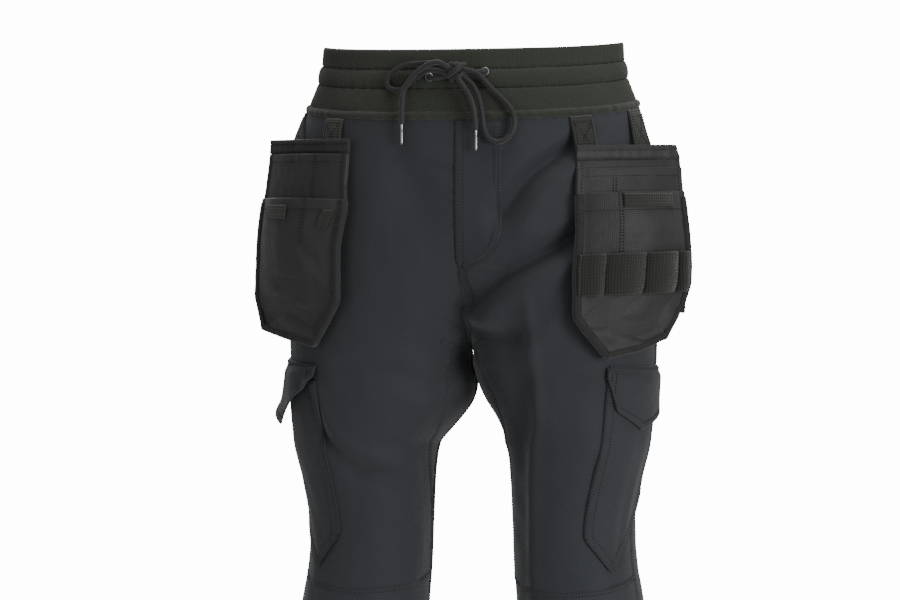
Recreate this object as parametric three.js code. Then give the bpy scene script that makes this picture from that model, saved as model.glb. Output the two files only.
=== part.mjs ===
// Work trousers: a ribbed waist with a drawcord tied in a bow, two holster pockets that hang on webbing
// straps, two cargo pockets with flaps, and long slim legs, filled out as if worn.
// Millimetres. +Z is up, the front faces -Y and +X is the wearer's left. The origin is in the middle of
// the waist opening, level with the drawcord channel.
import * as THREE from "three";

const LEFT = 1;
const RIGHT = -1;
const FRONT = -1;
const BACK = 1;
const QUARTER = Math.PI / 2;

// Cloth thicknesses, and the gap that stands for each sewn seam.
const SOFTSHELL = 1.6;
const RIB_KNIT = 3;
const POCKET_CLOTH = 1.3;
const WEBBING = 1.8;
const SEAM_GAP = 0.3;

// Heights of the main lines. Each seam sags or rises from its height at the side of the body.
const CROTCH = -277;
const HEM = -1018;
const WAIST_SEAM = { side: -33, frontDrop: 20, backRise: 8 };
const WAIST_TOP = { side: 32, frontDrop: 16, backRise: 8 };
const KNEE_SEAM = { side: -511, sag: 13, inseam: -512 };

const table = (columns, rows) =>
  rows.map((row) => Object.fromEntries(columns.map((name, i) => [name, row[i]])));

// The half garment on the wearer's left, level by level. side: x of the outermost cloth. inner: x of the
// innermost cloth of the leg, used below the crotch. centre: x of the foremost and rearmost cloth.
// front, back: y of those. seam: how far forward of the outermost cloth the side seam runs.
const LEVELS = table(
  ["z", "side", "inner", "centre", "front", "back", "seam"],
  [
    [48, 154, 0.2, 8, -100, 104, 0],
    [32, 154.5, 0.2, 8, -101, 105, 0],
    [8, 156, 0.2, 8, -103, 107, 0],
    [-9, 160, 0.2, 9, -106, 110, 0],
    [-33, 170.5, 0.2, 14, -110, 115, 0],
    [-56, 177.5, 0.2, 22, -113, 120, 0],
    [-90, 184, 0.2, 33, -116, 127, 1],
    [-128, 188, 0.2, 45, -117, 132, 2],
    [-179, 190, 0.2, 60, -116, 135, 4],
    [-231, 190, 0.2, 76, -111, 130, 7],
    [-277, 189, 0.2, 90, -104, 117, 10],
    [-284, 188.7, 1.6, 91, -103, 115, 10],
    [-311, 187.5, 1.4, 94, -100, 108, 12],
    [-334, 185, 8, 97, -98, 102, 14],
    [-349, 183.5, 18, 101, -96.5, 99, 15],
    [-365, 181.5, 28.5, 104, -95, 96, 16],
    [-380, 179.5, 35.5, 106, -93, 94, 17],
    [-411, 172.5, 40, 104, -90, 89, 19],
    [-457, 166.5, 42, 103, -86, 82, 22],
    [-504, 169.5, 43.5, 106, -83, 72, 24],
    [-540, 176, 46, 110, -81, 66, 24],
    [-620, 181, 50, 115, -76, 74, 22],
    [-700, 178, 52, 115, -68, 87, 18],
    [-850, 169, 58, 113, -57, 84, 10],
    [-1018, 165, 63, 114, -50, 70, 4],
  ],
);
const ROUNDNESS = 2.15; // 2 is an ellipse; a little more fills out the corners of each section

// Between the thighs the cloth is pushed a little to the wearer's left, on both legs alike.
const PUSH = { most: 8, at: -340, above: 45, below: 36 };

// The crotch seam's U in side view: from topFront and topBack down, the seam leaves the outline of the
// belly and the seat and runs under the body to the crotch point.
const RISE = { topFront: -125, topBack: -135, fullness: 2.4 };

// Smooth interpolation of one column of a table at height z, with no overshoot between its rows.
function columnAt(rows, column, z) {
  const last = rows.length - 1;
  if (z >= rows[0].z) return rows[0][column];
  if (z <= rows[last].z) return rows[last][column];
  let i = 0;
  while (rows[i + 1].z > z) i += 1;
  const secant = (k) => (rows[k + 1][column] - rows[k][column]) / (rows[k + 1].z - rows[k].z);
  const slope = (k) => {
    if (k === 0) return secant(0);
    if (k === last) return secant(last - 1);
    const before = secant(k - 1);
    const after = secant(k);
    if (before * after <= 0) return 0;
    const mean = (before + after) / 2;
    return Math.sign(mean) * Math.min(Math.abs(mean), 3 * Math.abs(before), 3 * Math.abs(after));
  };
  const span = rows[i + 1].z - rows[i].z;
  const t = (z - rows[i].z) / span;
  return (
    rows[i][column] * (1 + 2 * t) * (1 - t) ** 2 +
    slope(i) * span * t * (1 - t) ** 2 +
    rows[i + 1][column] * t * t * (3 - 2 * t) +
    slope(i + 1) * span * t * t * (t - 1)
  );
}

const levelCache = new Map();
function levelAt(z) {
  const key = Math.round(z * 1000);
  if (!levelCache.has(key)) {
    const level = {};
    for (const column of Object.keys(LEVELS[0])) level[column] = columnAt(LEVELS, column, z);
    levelCache.set(key, level);
  }
  return levelCache.get(key);
}

// How much of the body's depth the crotch seam still has at height z: 1 up the belly, 0 at the crotch.
function riseDepth(half, z) {
  const top = half === FRONT ? RISE.topFront : RISE.topBack;
  const down = THREE.MathUtils.clamp((top - z) / (top - CROTCH), 0, 1);
  return Math.sqrt(1 - down ** RISE.fullness);
}

// A point of the plain surface on the wearer's left. turn is 0 at the outermost cloth, 1 at the foremost
// or rearmost, and 2 at the centre seam, or at the inseam below the crotch. Past either end it goes on
// into the next half or leg, so that slopes can be measured there.
function plainPoint(half, turn, z) {
  if (turn < 0) return plainPoint(-half, -turn, z);
  if (turn > 2) {
    if (z < CROTCH) return plainPoint(-half, 4 - turn, z);
    const mirrored = plainPoint(half, 4 - turn, z);
    return mirrored.set(-mirrored.x, mirrored.y, z);
  }
  const level = levelAt(z);
  const depth = half === FRONT ? level.front : level.back;
  if (turn <= 1) {
    const across = Math.cos(turn * QUARTER) ** (2 / ROUNDNESS);
    const along = Math.sin(turn * QUARTER) ** (2 / ROUNDNESS);
    return new THREE.Vector3(level.centre + (level.side - level.centre) * across, depth * along, z);
  }
  const reach = Math.sin((turn - 1) * QUARTER);
  const kept = z > CROTCH ? riseDepth(half, z) ** ROUNDNESS : 0;
  const end = z > CROTCH ? 0 : level.inner;
  const along = (1 - reach ** ROUNDNESS * (1 - kept)) ** (1 / ROUNDNESS);
  return new THREE.Vector3(level.centre + (end - level.centre) * reach, depth * along, z);
}

// Distances along a half section from its outermost point, at evenly spaced turns.
const ARC_STEPS = 96;
const arcCache = new Map();
function arcLengths(half, z) {
  const key = half * Math.round(z * 1000 + 1e7);
  if (!arcCache.has(key)) {
    const lengths = [0];
    let from = plainPoint(half, 0, z);
    for (let i = 1; i <= ARC_STEPS; i += 1) {
      const to = plainPoint(half, (2 * i) / ARC_STEPS, z);
      lengths.push(lengths[i - 1] + from.distanceTo(to));
      from = to;
    }
    arcCache.set(key, lengths);
  }
  return arcCache.get(key);
}
const halfLength = (half, z) => arcLengths(half, z)[ARC_STEPS];
const quarterLength = (half, z) => arcLengths(half, z)[ARC_STEPS / 2];

// The turn that lies a distance from the outermost point. A negative distance is on the other half.
function turnAt(half, distance, z) {
  if (distance < 0) return -turnAt(-half, -distance, z);
  const lengths = arcLengths(half, z);
  let i = 1;
  while (i < ARC_STEPS && lengths[i] < distance) i += 1;
  const part = (distance - lengths[i - 1]) / (lengths[i] - lengths[i - 1]);
  return (2 * (i - 1 + Math.min(part, 1))) / ARC_STEPS;
}

const TURN_STEP = 0.03;
const HEIGHT_STEP = 2.5;
function outwardNormal(half, turn, z) {
  const along = plainPoint(half, turn + TURN_STEP, z).sub(plainPoint(half, turn - TURN_STEP, z));
  const up = plainPoint(half, turn, z + HEIGHT_STEP).sub(plainPoint(half, turn, z - HEIGHT_STEP));
  return up.cross(along).multiplyScalar(-half).normalize();
}

// Large folds: soft troughs and, where depth is negative, ridges. Each runs from one end to the other,
// given by x across and z up as seen from the front or the back, and fades at both ends.
const FOLDS = table(
  ["half", "x1", "z1", "x2", "z2", "depth", "width"],
  [
    [FRONT, 112, -76, 68, -112, 7, 11],
    [FRONT, 110, -168, 20, -214, 8, 12],
    [FRONT, 14, -198, 42, -204, 3, 7],
    [FRONT, 4, -262, 60, -264, 6, 8],
    [FRONT, 100, -250, 66, -290, -4, 14],
    [FRONT, 70, -240, 74, -540, -3.5, 9],
    [FRONT, -56, -78, -44, -140, 4, 18],
    [FRONT, -150, -330, -96, -412, 4, 9],
    [FRONT, -118, -300, -30, -322, 3, 10],
    [FRONT, -20, -292, -40, -360, 4, 9],
    [BACK, 20, -236, 120, -262, 9, 14],
    [BACK, -20, -236, -120, -258, 9, 14],
    [BACK, 14, -285, 84, -318, 5, 10],
    [BACK, -14, -285, -92, -322, 5, 10],
    [BACK, 60, -528, 160, -536, 6, 9],
    [BACK, -60, -532, -160, -526, 6, 9],
    [BACK, 62, -556, 146, -566, 5, 9],
    [BACK, -62, -562, -150, -552, 5, 9],
    [FRONT, 70, -906, 150, -918, 4, 11],
    [FRONT, -72, -914, -150, -902, 4, 11],
    [BACK, 70, -944, 156, -934, 4, 11],
    [BACK, -72, -936, -156, -946, 4, 11],
  ],
);

// How far the folds move the cloth inwards at a point.
function foldDepth(half, x, z) {
  let depth = 0;
  for (const fold of FOLDS) {
    if (fold.half !== half) continue;
    const alongX = fold.x2 - fold.x1;
    const alongZ = fold.z2 - fold.z1;
    const length = Math.hypot(alongX, alongZ);
    const along = ((x - fold.x1) * alongX + (z - fold.z1) * alongZ) / length;
    const across = ((x - fold.x1) * alongZ - (z - fold.z1) * alongX) / length;
    const past = Math.max(0, -along, along - length);
    const fade = Math.exp(-((past / (1.5 * fold.width)) ** 2));
    depth += fold.depth * fade * Math.exp(-((across / fold.width) ** 2));
  }
  return depth;
}

// A point of the cloth's outer face, moved out by a distance, on either side of the body.
function clothPoint(side, half, turn, z, out = 0) {
  const point = plainPoint(half, turn, z);
  const normal = outwardNormal(half, turn, z);
  const nearWaist = THREE.MathUtils.smoothstep(-z, -WAIST_SEAM.side, 90);
  const turned = Math.min(1, 1.6 * Math.abs(normal.y));
  const moved = out - foldDepth(half, side * point.x, z) * nearWaist * turned;
  point.addScaledVector(normal, moved);
  if (turn > 1) point.y = half * Math.max(half * point.y, SEAM_GAP / 2);
  const away = z - PUSH.at;
  const pushed = PUSH.most * Math.max(0, 1 - (away / (away > 0 ? PUSH.above : PUSH.below)) ** 2);
  const inwards = THREE.MathUtils.smoothstep(turn, 0.9, 1.7);
  point.x = side * Math.max(point.x, SEAM_GAP / 2) + pushed * inwards;
  return point;
}

// Height of a line sewn round the waist, which drops to the centre front and rises to the centre back.
function waistLine(line, half, turn) {
  const toCentre = Math.sin(THREE.MathUtils.clamp(turn, 0, 1) * QUARTER);
  return line.side + (half === FRONT ? -line.frontDrop : line.backRise) * toCentre;
}

// Closed bodies, made from a grid of outer points and a grid of inner points.
const trousers = new THREE.Group();
trousers.name = "work_trousers";

const lerp = THREE.MathUtils.lerp;
const evenly = (count) => Array.from({ length: count + 1 }, (_, i) => i / count);

function addBody(name, geometry, colour, finish = {}) {
  const material = new THREE.MeshStandardMaterial({ color: colour, roughness: 0.85, ...finish });
  const mesh = new THREE.Mesh(geometry, material);
  mesh.name = name;
  trousers.add(mesh);
}

function bodyFrom(points, triangles) {
  let volume = 0;
  for (const [a, b, c] of triangles) {
    volume += points[a].dot(new THREE.Vector3().crossVectors(points[b], points[c]));
  }
  const index = triangles.flatMap(([a, b, c]) => (volume > 0 ? [a, b, c] : [a, c, b]));
  const geometry = new THREE.BufferGeometry();
  geometry.setAttribute("position", new THREE.Float32BufferAttribute(points.flatMap((p) => p.toArray()), 3));
  geometry.setIndex(index);
  return geometry;
}

const quad = (a, b, c, d) => [[a, b, c], [a, c, d]];

// A sheet of cloth: outer(p, q) and inner(p, q) give its two faces, p across and q down.
function clothSheet(across, down, outer, inner) {
  const columns = across.length;
  const rows = down.length;
  const points = [];
  for (const face of [outer, inner]) {
    for (const q of down) for (const p of across) points.push(face(p, q));
  }
  const at = (face, row, column) => (face * rows + row) * columns + column;
  const triangles = [];
  for (let r = 0; r + 1 < rows; r += 1) {
    for (let c = 0; c + 1 < columns; c += 1) {
      triangles.push(...quad(at(0, r, c), at(0, r + 1, c), at(0, r + 1, c + 1), at(0, r, c + 1)));
      triangles.push(...quad(at(1, r, c), at(1, r, c + 1), at(1, r + 1, c + 1), at(1, r + 1, c)));
    }
  }
  for (let r = 0; r + 1 < rows; r += 1) {
    const end = columns - 1;
    triangles.push(...quad(at(0, r, 0), at(1, r, 0), at(1, r + 1, 0), at(0, r + 1, 0)));
    triangles.push(...quad(at(0, r, end), at(0, r + 1, end), at(1, r + 1, end), at(1, r, end)));
  }
  for (let c = 0; c + 1 < columns; c += 1) {
    const end = rows - 1;
    triangles.push(...quad(at(0, 0, c), at(0, 0, c + 1), at(1, 0, c + 1), at(1, 0, c)));
    triangles.push(...quad(at(0, end, c), at(1, end, c), at(1, end, c + 1), at(0, end, c + 1)));
  }
  return bodyFrom(points, triangles);
}

// A closed ring: each station holds the same loop of points.
function ringBody(stations) {
  const size = stations[0].length;
  const triangles = [];
  for (let s = 0; s < stations.length; s += 1) {
    const next = (s + 1) % stations.length;
    for (let i = 0; i < size; i += 1) {
      const j = (i + 1) % size;
      triangles.push(...quad(s * size + i, s * size + j, next * size + j, next * size + i));
    }
  }
  return bodyFrom(stations.flat(), triangles);
}

const SOFTSHELL_COLOUR = 0x1b1d21;
const RIB_COLOUR = 0x1c1f1e;
const POCKET_COLOUR = 0x17181a;
const WEBBING_COLOUR = 0x141516;
const CORD_COLOUR = 0x101112;
const SILVER = { roughness: 0.3, metalness: 1 };

// Rib-knit waistband: an upper tier, the drawcord channel, a lower tier and the rolled waist seam.
// part runs from the top edge, 0, to the waist seam, 1; out is how far the cloth stands out.
const BAND_OUTSIDE = table(
  ["part", "out"],
  [
    [0, -1],
    [0.03, 0],
    [0.25, 0.2],
    [0.285, -0.8],
    [0.32, 1],
    [0.43, 2.4],
    [0.53, 1],
    [0.565, -0.6],
    [0.61, 0.6],
    [0.88, 0.4],
    [0.91, 2.2],
    [0.95, 3.2],
    [0.985, 2.4],
    [1, 0.6],
  ],
);
const BAND_INSIDE = table(
  ["part", "out"],
  [
    [1, -RIB_KNIT],
    [0.5, -RIB_KNIT],
    [0.02, -RIB_KNIT],
  ],
);
const BAND_COLUMNS = 11;

function bandPoint(side, half, turn, part, out) {
  const z = lerp(waistLine(WAIST_TOP, half, turn), waistLine(WAIST_SEAM, half, turn), part);
  const point = plainPoint(half, turn, z).addScaledVector(outwardNormal(half, turn, z), out);
  point.x *= side;
  return point;
}

const bandStations = [];
for (const [side, half, forwards] of [
  [LEFT, FRONT, true],
  [RIGHT, FRONT, false],
  [RIGHT, BACK, true],
  [LEFT, BACK, false],
]) {
  for (let i = 0; i < BAND_COLUMNS; i += 1) {
    const part = (forwards ? i : BAND_COLUMNS - i) / BAND_COLUMNS;
    const turn = part === 1 ? 2 : turnAt(half, part * halfLength(half, 0), 0);
    const loop = [...BAND_OUTSIDE, ...BAND_INSIDE];
    bandStations.push(loop.map((row) => bandPoint(side, half, turn, row.part, row.out)));
  }
}
addBody("waistband", ringBody(bandStations), RIB_COLOUR, { roughness: 0.95 });

// Front, back and shin panels. Each row of a panel is at a height of its own, bent to the waist and knee
// seams near them, and each column keeps its share of the way from the side seam to the centre.
const THIGH_ROWS = [
  -33, -47, -61, -76, -91, -106, -122, -140, -158, -176, -194, -212, -229, -245, -258, -269, -275, -277, -291,
  -307, -324, -342, -364, -390, -418, -450, -482, -511,
];
const SHIN_ROWS = [-511, -524, -538, -556, -580, -640, -720, -810, -885, -910, -940, HEM];
const BACK_ROWS = [...THIGH_ROWS, ...SHIN_ROWS.slice(1)];
const TOP_BLEND = -122;
const KNEE_BLEND = 100;

function kneeLine(share) {
  const bow = 4 * share * (1 - share);
  return lerp(KNEE_SEAM.side, KNEE_SEAM.inseam, share) - KNEE_SEAM.sag * bow;
}

// Height of a panel's row at a share of the way across from the side seam.
function rowHeight(half, nominal, share, kneeSeam, kneeGap) {
  const side = WAIST_SEAM.side;
  if (nominal > TOP_BLEND) {
    const turn = turnAt(half, share * halfLength(half, side), side);
    const top = waistLine(WAIST_SEAM, half, turn) - SEAM_GAP;
    return lerp(top, TOP_BLEND, (nominal - side) / (TOP_BLEND - side));
  }
  const near = 1 - Math.abs(nominal - KNEE_SEAM.side) / KNEE_BLEND;
  if (!kneeSeam || near <= 0) return nominal;
  return nominal + near * (kneeLine(share) - KNEE_SEAM.side + kneeGap);
}

// A share of the way across, as a distance from the outermost cloth. Columns up to INNER_FROM keep an
// even spacing through the crotch, where the way to the centre seam changes fast; the rest take it up.
const INNER_FROM = 0.7;
function acrossPanel(half, share, z) {
  const seam = -half * levelAt(z).seam + SEAM_GAP / 2;
  const steady = quarterLength(half, z) + levelAt(z).centre;
  if (share <= INNER_FROM) return lerp(seam, steady, share);
  const part = (share - INNER_FROM) / (1 - INNER_FROM);
  return lerp(lerp(seam, steady, INNER_FROM), halfLength(half, z), part);
}

function panel(side, half, rows, columns, kneeSeam, kneeGap) {
  const face = (out) => (share, nominal) => {
    const z = rowHeight(half, nominal, share, kneeSeam, kneeGap);
    const turn = share === 1 ? 2 : turnAt(half, acrossPanel(half, share, z), z);
    return clothPoint(side, half, turn, z, out);
  };
  return clothSheet(evenly(columns), rows, face(0), face(-SOFTSHELL));
}

for (const [side, word] of [
  [LEFT, "left"],
  [RIGHT, "right"],
]) {
  addBody(`front_panel_${word}`, panel(side, FRONT, THIGH_ROWS, 14, true, SEAM_GAP / 2), SOFTSHELL_COLOUR);
  addBody(`back_panel_${word}`, panel(side, BACK, BACK_ROWS, 12, false, 0), SOFTSHELL_COLOUR);
  addBody(`shin_panel_${word}`, panel(side, FRONT, SHIN_ROWS, 14, true, -SEAM_GAP / 2), SOFTSHELL_COLOUR);
}

// Fly facing: a layer on the wearer's left front, straight down from the waist seam and curved to the
// centre front at its foot.
const FLY = { width: 45, foot: -197, curveFrom: -160, thickness: 1.2 };
function flyWidth(z) {
  const down = THREE.MathUtils.clamp((FLY.curveFrom - z) / (FLY.curveFrom - FLY.foot), 0, 1);
  return 4 + (FLY.width - 4) * Math.sqrt(1 - down ** 2.2);
}
const flyFace = (out) => (share, q) => {
  const top = waistLine(WAIST_SEAM, FRONT, 1) - 4;
  const z = lerp(top, FLY.foot, 1 - (1 - q) ** 1.5);
  const turn = turnAt(FRONT, halfLength(FRONT, z) - lerp(0.3, flyWidth(z), share), z);
  return clothPoint(LEFT, FRONT, turn, z, out);
};
addBody(
  "fly_facing",
  clothSheet(evenly(6), evenly(12), flyFace(0.4 + FLY.thickness), flyFace(0.4)),
  SOFTSHELL_COLOUR,
);

// Cargo pockets: a patch round the outside of each thigh, with a pointed foot, and a pointed flap over
// its mouth. near is the distance of the front edge from the outermost cloth, far that of the back edge.
const CARGO = { near: 100, far: -5, mouth: -312, thickness: 1.4, lift: 0.8, puff: 3 };
const CARGO_FOOT = table(
  ["share", "z"],
  [
    [0, -463],
    [0.29, -502],
    [0.62, -461],
    [1, -425],
  ],
);
const FLAP = { near: 102, far: -4, top: -297, sewn: 0.5, thickness: 1.6 };
const FLAPS = [
  {
    side: LEFT,
    word: "left",
    standOff: 3,
    rise: 0,
    foot: table(
      ["share", "z"],
      [
        [0, -307],
        [0.13, -341],
        [0.45, -360],
        [0.85, -348],
        [1, -345],
      ],
    ),
  },
  {
    side: RIGHT,
    word: "right",
    standOff: 18,
    rise: 9,
    foot: table(
      ["share", "z"],
      [
        [0, -308],
        [0.25, -328],
        [0.5, -358],
        [0.8, -348],
        [1, -342],
      ],
    ),
  },
];

function between(rows, column, key, value) {
  let i = 0;
  while (i + 2 < rows.length && rows[i + 1][key] < value) i += 1;
  const part = (value - rows[i][key]) / (rows[i + 1][key] - rows[i][key]);
  return lerp(rows[i][column], rows[i + 1][column], THREE.MathUtils.clamp(part, 0, 1));
}

function cargoPocket(side) {
  const face = (out) => (share, q) => {
    const z = lerp(CARGO.mouth, between(CARGO_FOOT, "z", "share", share), q);
    const distance = lerp(CARGO.near, CARGO.far, share);
    const puff = CARGO.puff * Math.sin(Math.PI * share) * Math.sin(Math.PI * (0.15 + 0.85 * q));
    return clothPoint(side, FRONT, turnAt(FRONT, distance, z), z, out + puff);
  };
  const shares = [0, 0.07, 0.15, 0.22, 0.29, 0.39, 0.5, 0.62, 0.74, 0.87, 1];
  const base = CARGO.lift;
  return clothSheet(shares, evenly(9), face(base + CARGO.thickness), face(base));
}

function cargoFlap({ side, standOff, rise, foot }) {
  const face = (out) => (share, q) => {
    const z = lerp(FLAP.top + rise * share, between(foot, "z", "share", share), q);
    const distance = lerp(FLAP.near, FLAP.far, share);
    const pocketFace = CARGO.lift + CARGO.thickness + CARGO.puff * Math.sin(Math.PI * share);
    const overMouth = pocketFace * THREE.MathUtils.smoothstep(q, 0, 0.27);
    const hanging = standOff * q * q * (0.25 + 0.75 * share);
    return clothPoint(side, FRONT, turnAt(FRONT, distance, z), z, out + overMouth + hanging);
  };
  const shares = [...new Set([...evenly(9), ...foot.map((row) => row.share)])].sort((a, b) => a - b);
  return clothSheet(shares, [0, 0.13, 0.27, 0.5, 0.75, 1], face(FLAP.sewn + FLAP.thickness), face(FLAP.sewn));
}

addBody("cargo_pocket_left", cargoPocket(LEFT), SOFTSHELL_COLOUR);
addBody("cargo_pocket_right", cargoPocket(RIGHT), SOFTSHELL_COLOUR);
for (const flap of FLAPS) addBody(`cargo_flap_${flap.word}`, cargoFlap(flap), SOFTSHELL_COLOUR);

// Holster pockets. Each hangs in front of the hip in a frame of its own: u runs outwards along its top
// edge, v down, and w out from its back. The lower part stands out over the hip, and the outer edge bends
// back round it.
const HOLSTERS = [
  {
    side: LEFT,
    word: "left",
    corner: [117, -105, -81],
    outline: table(
      ["v", "inner", "outer"],
      [
        [0, 0, 116],
        [16, 0, 122],
        [41, -3, 122],
        [83, -5, 125],
        [121, -9, 127],
        [139, -9, 126],
        [159, -9, 118],
        [202, -9, 116],
      ],
    ),
    foot: table(
      ["share", "v"],
      [
        [0, 167],
        [0.08, 181],
        [0.28, 208],
        [0.59, 202],
        [0.84, 191],
        [1, 159],
      ],
    ),
    innerTop: 22,
    pouchTop: 46,
  },
  {
    side: RIGHT,
    word: "right",
    corner: [106, -114, -72.6],
    outline: table(
      ["v", "inner", "outer"],
      [
        [0, 0, 121],
        [45, 0, 124],
        [69, -4, 126],
        [109, 3, 129],
        [157, 3, 132],
        [207, 3, 132],
      ],
    ),
    foot: table(
      ["share", "v"],
      [
        [0, 160],
        [0.1, 179],
        [0.26, 206],
        [0.6, 200],
        [0.9, 193],
        [1, 160],
      ],
    ),
    innerTop: 14,
    pouchTop: 59,
  },
];
const HANG = { angle: 33, tilt: 0.04, bend: 9, hip: 11, hipAt: 110 };
const LAYER = POCKET_CLOTH + 0.8;
const BULGE = { inner: 8, pouch: 11 };
const BINDING = { width: 6.5, thickness: 1.2 };
const HEADBAND = { height: 13, thickness: 1.6 };

function holsterPoint(holster, u, v, w) {
  const angle = THREE.MathUtils.degToRad(HANG.angle);
  const out = w - HANG.bend * (u / 114) ** 2 + HANG.hip * THREE.MathUtils.smoothstep(v, 0, HANG.hipAt);
  const [x, y, z] = holster.corner;
  return new THREE.Vector3(
    holster.side * (x + u * Math.cos(angle) + out * Math.sin(angle)),
    y + u * Math.sin(angle) - out * Math.cos(angle),
    z + HANG.tilt * u - v,
  );
}

// Where a share of the way across and down lies on the holster's outline.
function onOutline(holster, share, v) {
  const inner = between(holster.outline, "inner", "v", v);
  const outer = between(holster.outline, "outer", "v", v);
  return lerp(inner, outer, share);
}
const footAt = (holster, share) => between(holster.foot, "v", "share", share);

// How far a layer stands out from the back of its holster: nothing at its sewn edges, most at its mouth.
function bulgeAt(holster, share, v, top, amount) {
  const down = THREE.MathUtils.clamp((v - top) / (footAt(holster, share) - 14 - top), 0, 1);
  const across = THREE.MathUtils.clamp((share - 0.06) / 0.88, 0, 1);
  return amount * Math.sin(Math.PI * across) ** 0.8 * (1 - down ** 2.5);
}
function innerFace(holster, share, v) {
  return LAYER + bulgeAt(holster, share, v, holster.innerTop, BULGE.inner);
}
function pouchFace(holster, share, v) {
  return innerFace(holster, share, v) + LAYER + bulgeAt(holster, share, v, holster.pouchTop, BULGE.pouch);
}

const HOLSTER_SHARES = [0, 0.06, 0.13, 0.28, 0.43, 0.59, 0.73, 0.87, 0.94, 1];

// One layer of a holster, from a height at its top to the foot, standing out as standing(share, v) says.
function holsterLayer(holster, top, standing) {
  const face = (out) => (share, q) => {
    const foot = footAt(holster, share);
    const v = q > 1 ? foot : lerp(top, foot - 12, q);
    return holsterPoint(holster, onOutline(holster, share, v), v, standing(share, v) + out);
  };
  return clothSheet(HOLSTER_SHARES, [0, 0.2, 0.4, 0.6, 0.8, 1, 2], face(POCKET_CLOTH), face(0));
}

for (const holster of HOLSTERS) {
  const { word } = holster;
  addBody(
    `holster_back_${word}`,
    holsterLayer(holster, HEADBAND.height + SEAM_GAP, () => 0),
    POCKET_COLOUR,
  );
  addBody(
    `holster_inner_pocket_${word}`,
    holsterLayer(holster, holster.innerTop, (share, v) => innerFace(holster, share, v)),
    POCKET_COLOUR,
  );
  addBody(
    `holster_pouch_${word}`,
    holsterLayer(holster, holster.pouchTop, (share, v) => pouchFace(holster, share, v)),
    POCKET_COLOUR,
  );

  // Head band along the top edge.
  const headFace = (out) => (share, q) => {
    const v = q * HEADBAND.height;
    return holsterPoint(holster, onOutline(holster, share, v), v, out);
  };
  addBody(
    `holster_band_${word}`,
    clothSheet(evenly(6), [0, 1], headFace(POCKET_CLOTH + HEADBAND.thickness), headFace(0)),
    POCKET_COLOUR,
  );

  // Tape that binds the sewn edges: down the inner side, round the foot and up the outer side.
  const edge = [];
  const sideTop = holster.pouchTop + 2;
  const sideFoot = footAt(holster, 0);
  for (const q of evenly(6)) edge.push([0, lerp(sideTop, sideFoot, q)]);
  for (const share of [0.08, 0.18, 0.28, 0.43, 0.59, 0.72, 0.84]) edge.push([share, footAt(holster, share)]);
  for (const q of evenly(6)) edge.push([1, lerp(footAt(holster, 1), sideTop, q)]);
  const centre = [0.5, 110];
  const tapeFace = (inward, out) => (p) => {
    const [share, v] = edge[p];
    const u = onOutline(holster, share, v);
    const towards = new THREE.Vector2(onOutline(holster, centre[0], centre[1]) - u, centre[1] - v);
    const step = share === 0 || share === 1 ? new THREE.Vector2(share === 0 ? 1 : -1, 0) : towards.normalize();
    const at = new THREE.Vector2(u, v).addScaledVector(step, inward);
    const inShare = (at.x - onOutline(holster, 0, at.y)) / (onOutline(holster, 1, at.y) - onOutline(holster, 0, at.y));
    return holsterPoint(holster, at.x, at.y, pouchFace(holster, inShare, at.y) + out);
  };
  const base = POCKET_CLOTH + 0.8;
  const across = (out) => (p, q) => tapeFace(q * BINDING.width, out)(p);
  addBody(
    `holster_binding_${word}`,
    clothSheet([...edge.keys()], [0, 1], across(base + BINDING.thickness), across(base)),
    WEBBING_COLOUR,
  );
}

// Webbing straps: from the body, just under the waist seam, to the back of each holster's top. near and
// far are the strap's two edges at the waist, measured forwards from the outermost cloth; uNear and uFar
// are the same edges on the holster.
const STRAPS = table(
  ["holster", "word", "near", "far", "uNear", "uFar"],
  [
    [0, "left_inner", 124, 99, 1, 25],
    [0, "left_outer", 48, 23, 68, 92],
    [1, "right_inner", 116, 91, 14, 39],
    [1, "right_outer", 34, 9, 68, 93],
  ],
);
const STRAP = { below: 1.2, lap: 12, behind: 0.4, lift: 0.5, bow: 2.2 };

for (const strap of STRAPS) {
  const holster = HOLSTERS[strap.holster];
  const edgePoint = (share, q, out) => {
    const distance = lerp(strap.near, strap.far, share);
    const top = waistLine(WAIST_SEAM, FRONT, turnAt(FRONT, distance, -45)) - STRAP.below;
    const start = clothPoint(holster.side, FRONT, turnAt(FRONT, distance, top), top, STRAP.lift + out);
    const u = lerp(strap.uNear, strap.uFar, share);
    const v = HEADBAND.height + SEAM_GAP + 1;
    const joined = holsterPoint(holster, u, v, -STRAP.behind - WEBBING + out);
    const foot = holsterPoint(holster, u, v + STRAP.lap, -STRAP.behind - WEBBING + out);
    const clear = new THREE.Vector3(holster.side * 0.6, -0.8, 0).multiplyScalar(STRAP.bow * 4 * q * (1 - q));
    return q > 1 ? foot : start.lerp(joined, q).add(clear);
  };
  const face = (out) => (share, q) => edgePoint(share, q, out);
  addBody(`strap_${strap.word}`, clothSheet([0, 0.5, 1], [0, 0.25, 0.5, 0.75, 1, 2], face(WEBBING), face(0)), WEBBING_COLOUR);
}

// On the left holster, a folded strip across the pouch's mouth and webbing stitched down into tool loops.
const leftHolster = HOLSTERS[0];
const onPouch = (out) => (share, v) =>
  holsterPoint(leftHolster, onOutline(leftHolster, share, v), v, pouchFace(leftHolster, share, v) + out);
const STRIP = { from: 0.33, to: 0.82, top: 48, foot: 61 };
const stripFace = (out) => (share, q) => onPouch(out)(lerp(STRIP.from, STRIP.to, share), lerp(STRIP.top, STRIP.foot, q));
addBody(
  "holster_strip_left",
  clothSheet(evenly(5), [0, 0.5, 1], stripFace(POCKET_CLOTH + 3.2), stripFace(POCKET_CLOTH + 1.2)),
  WEBBING_COLOUR,
);

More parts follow.
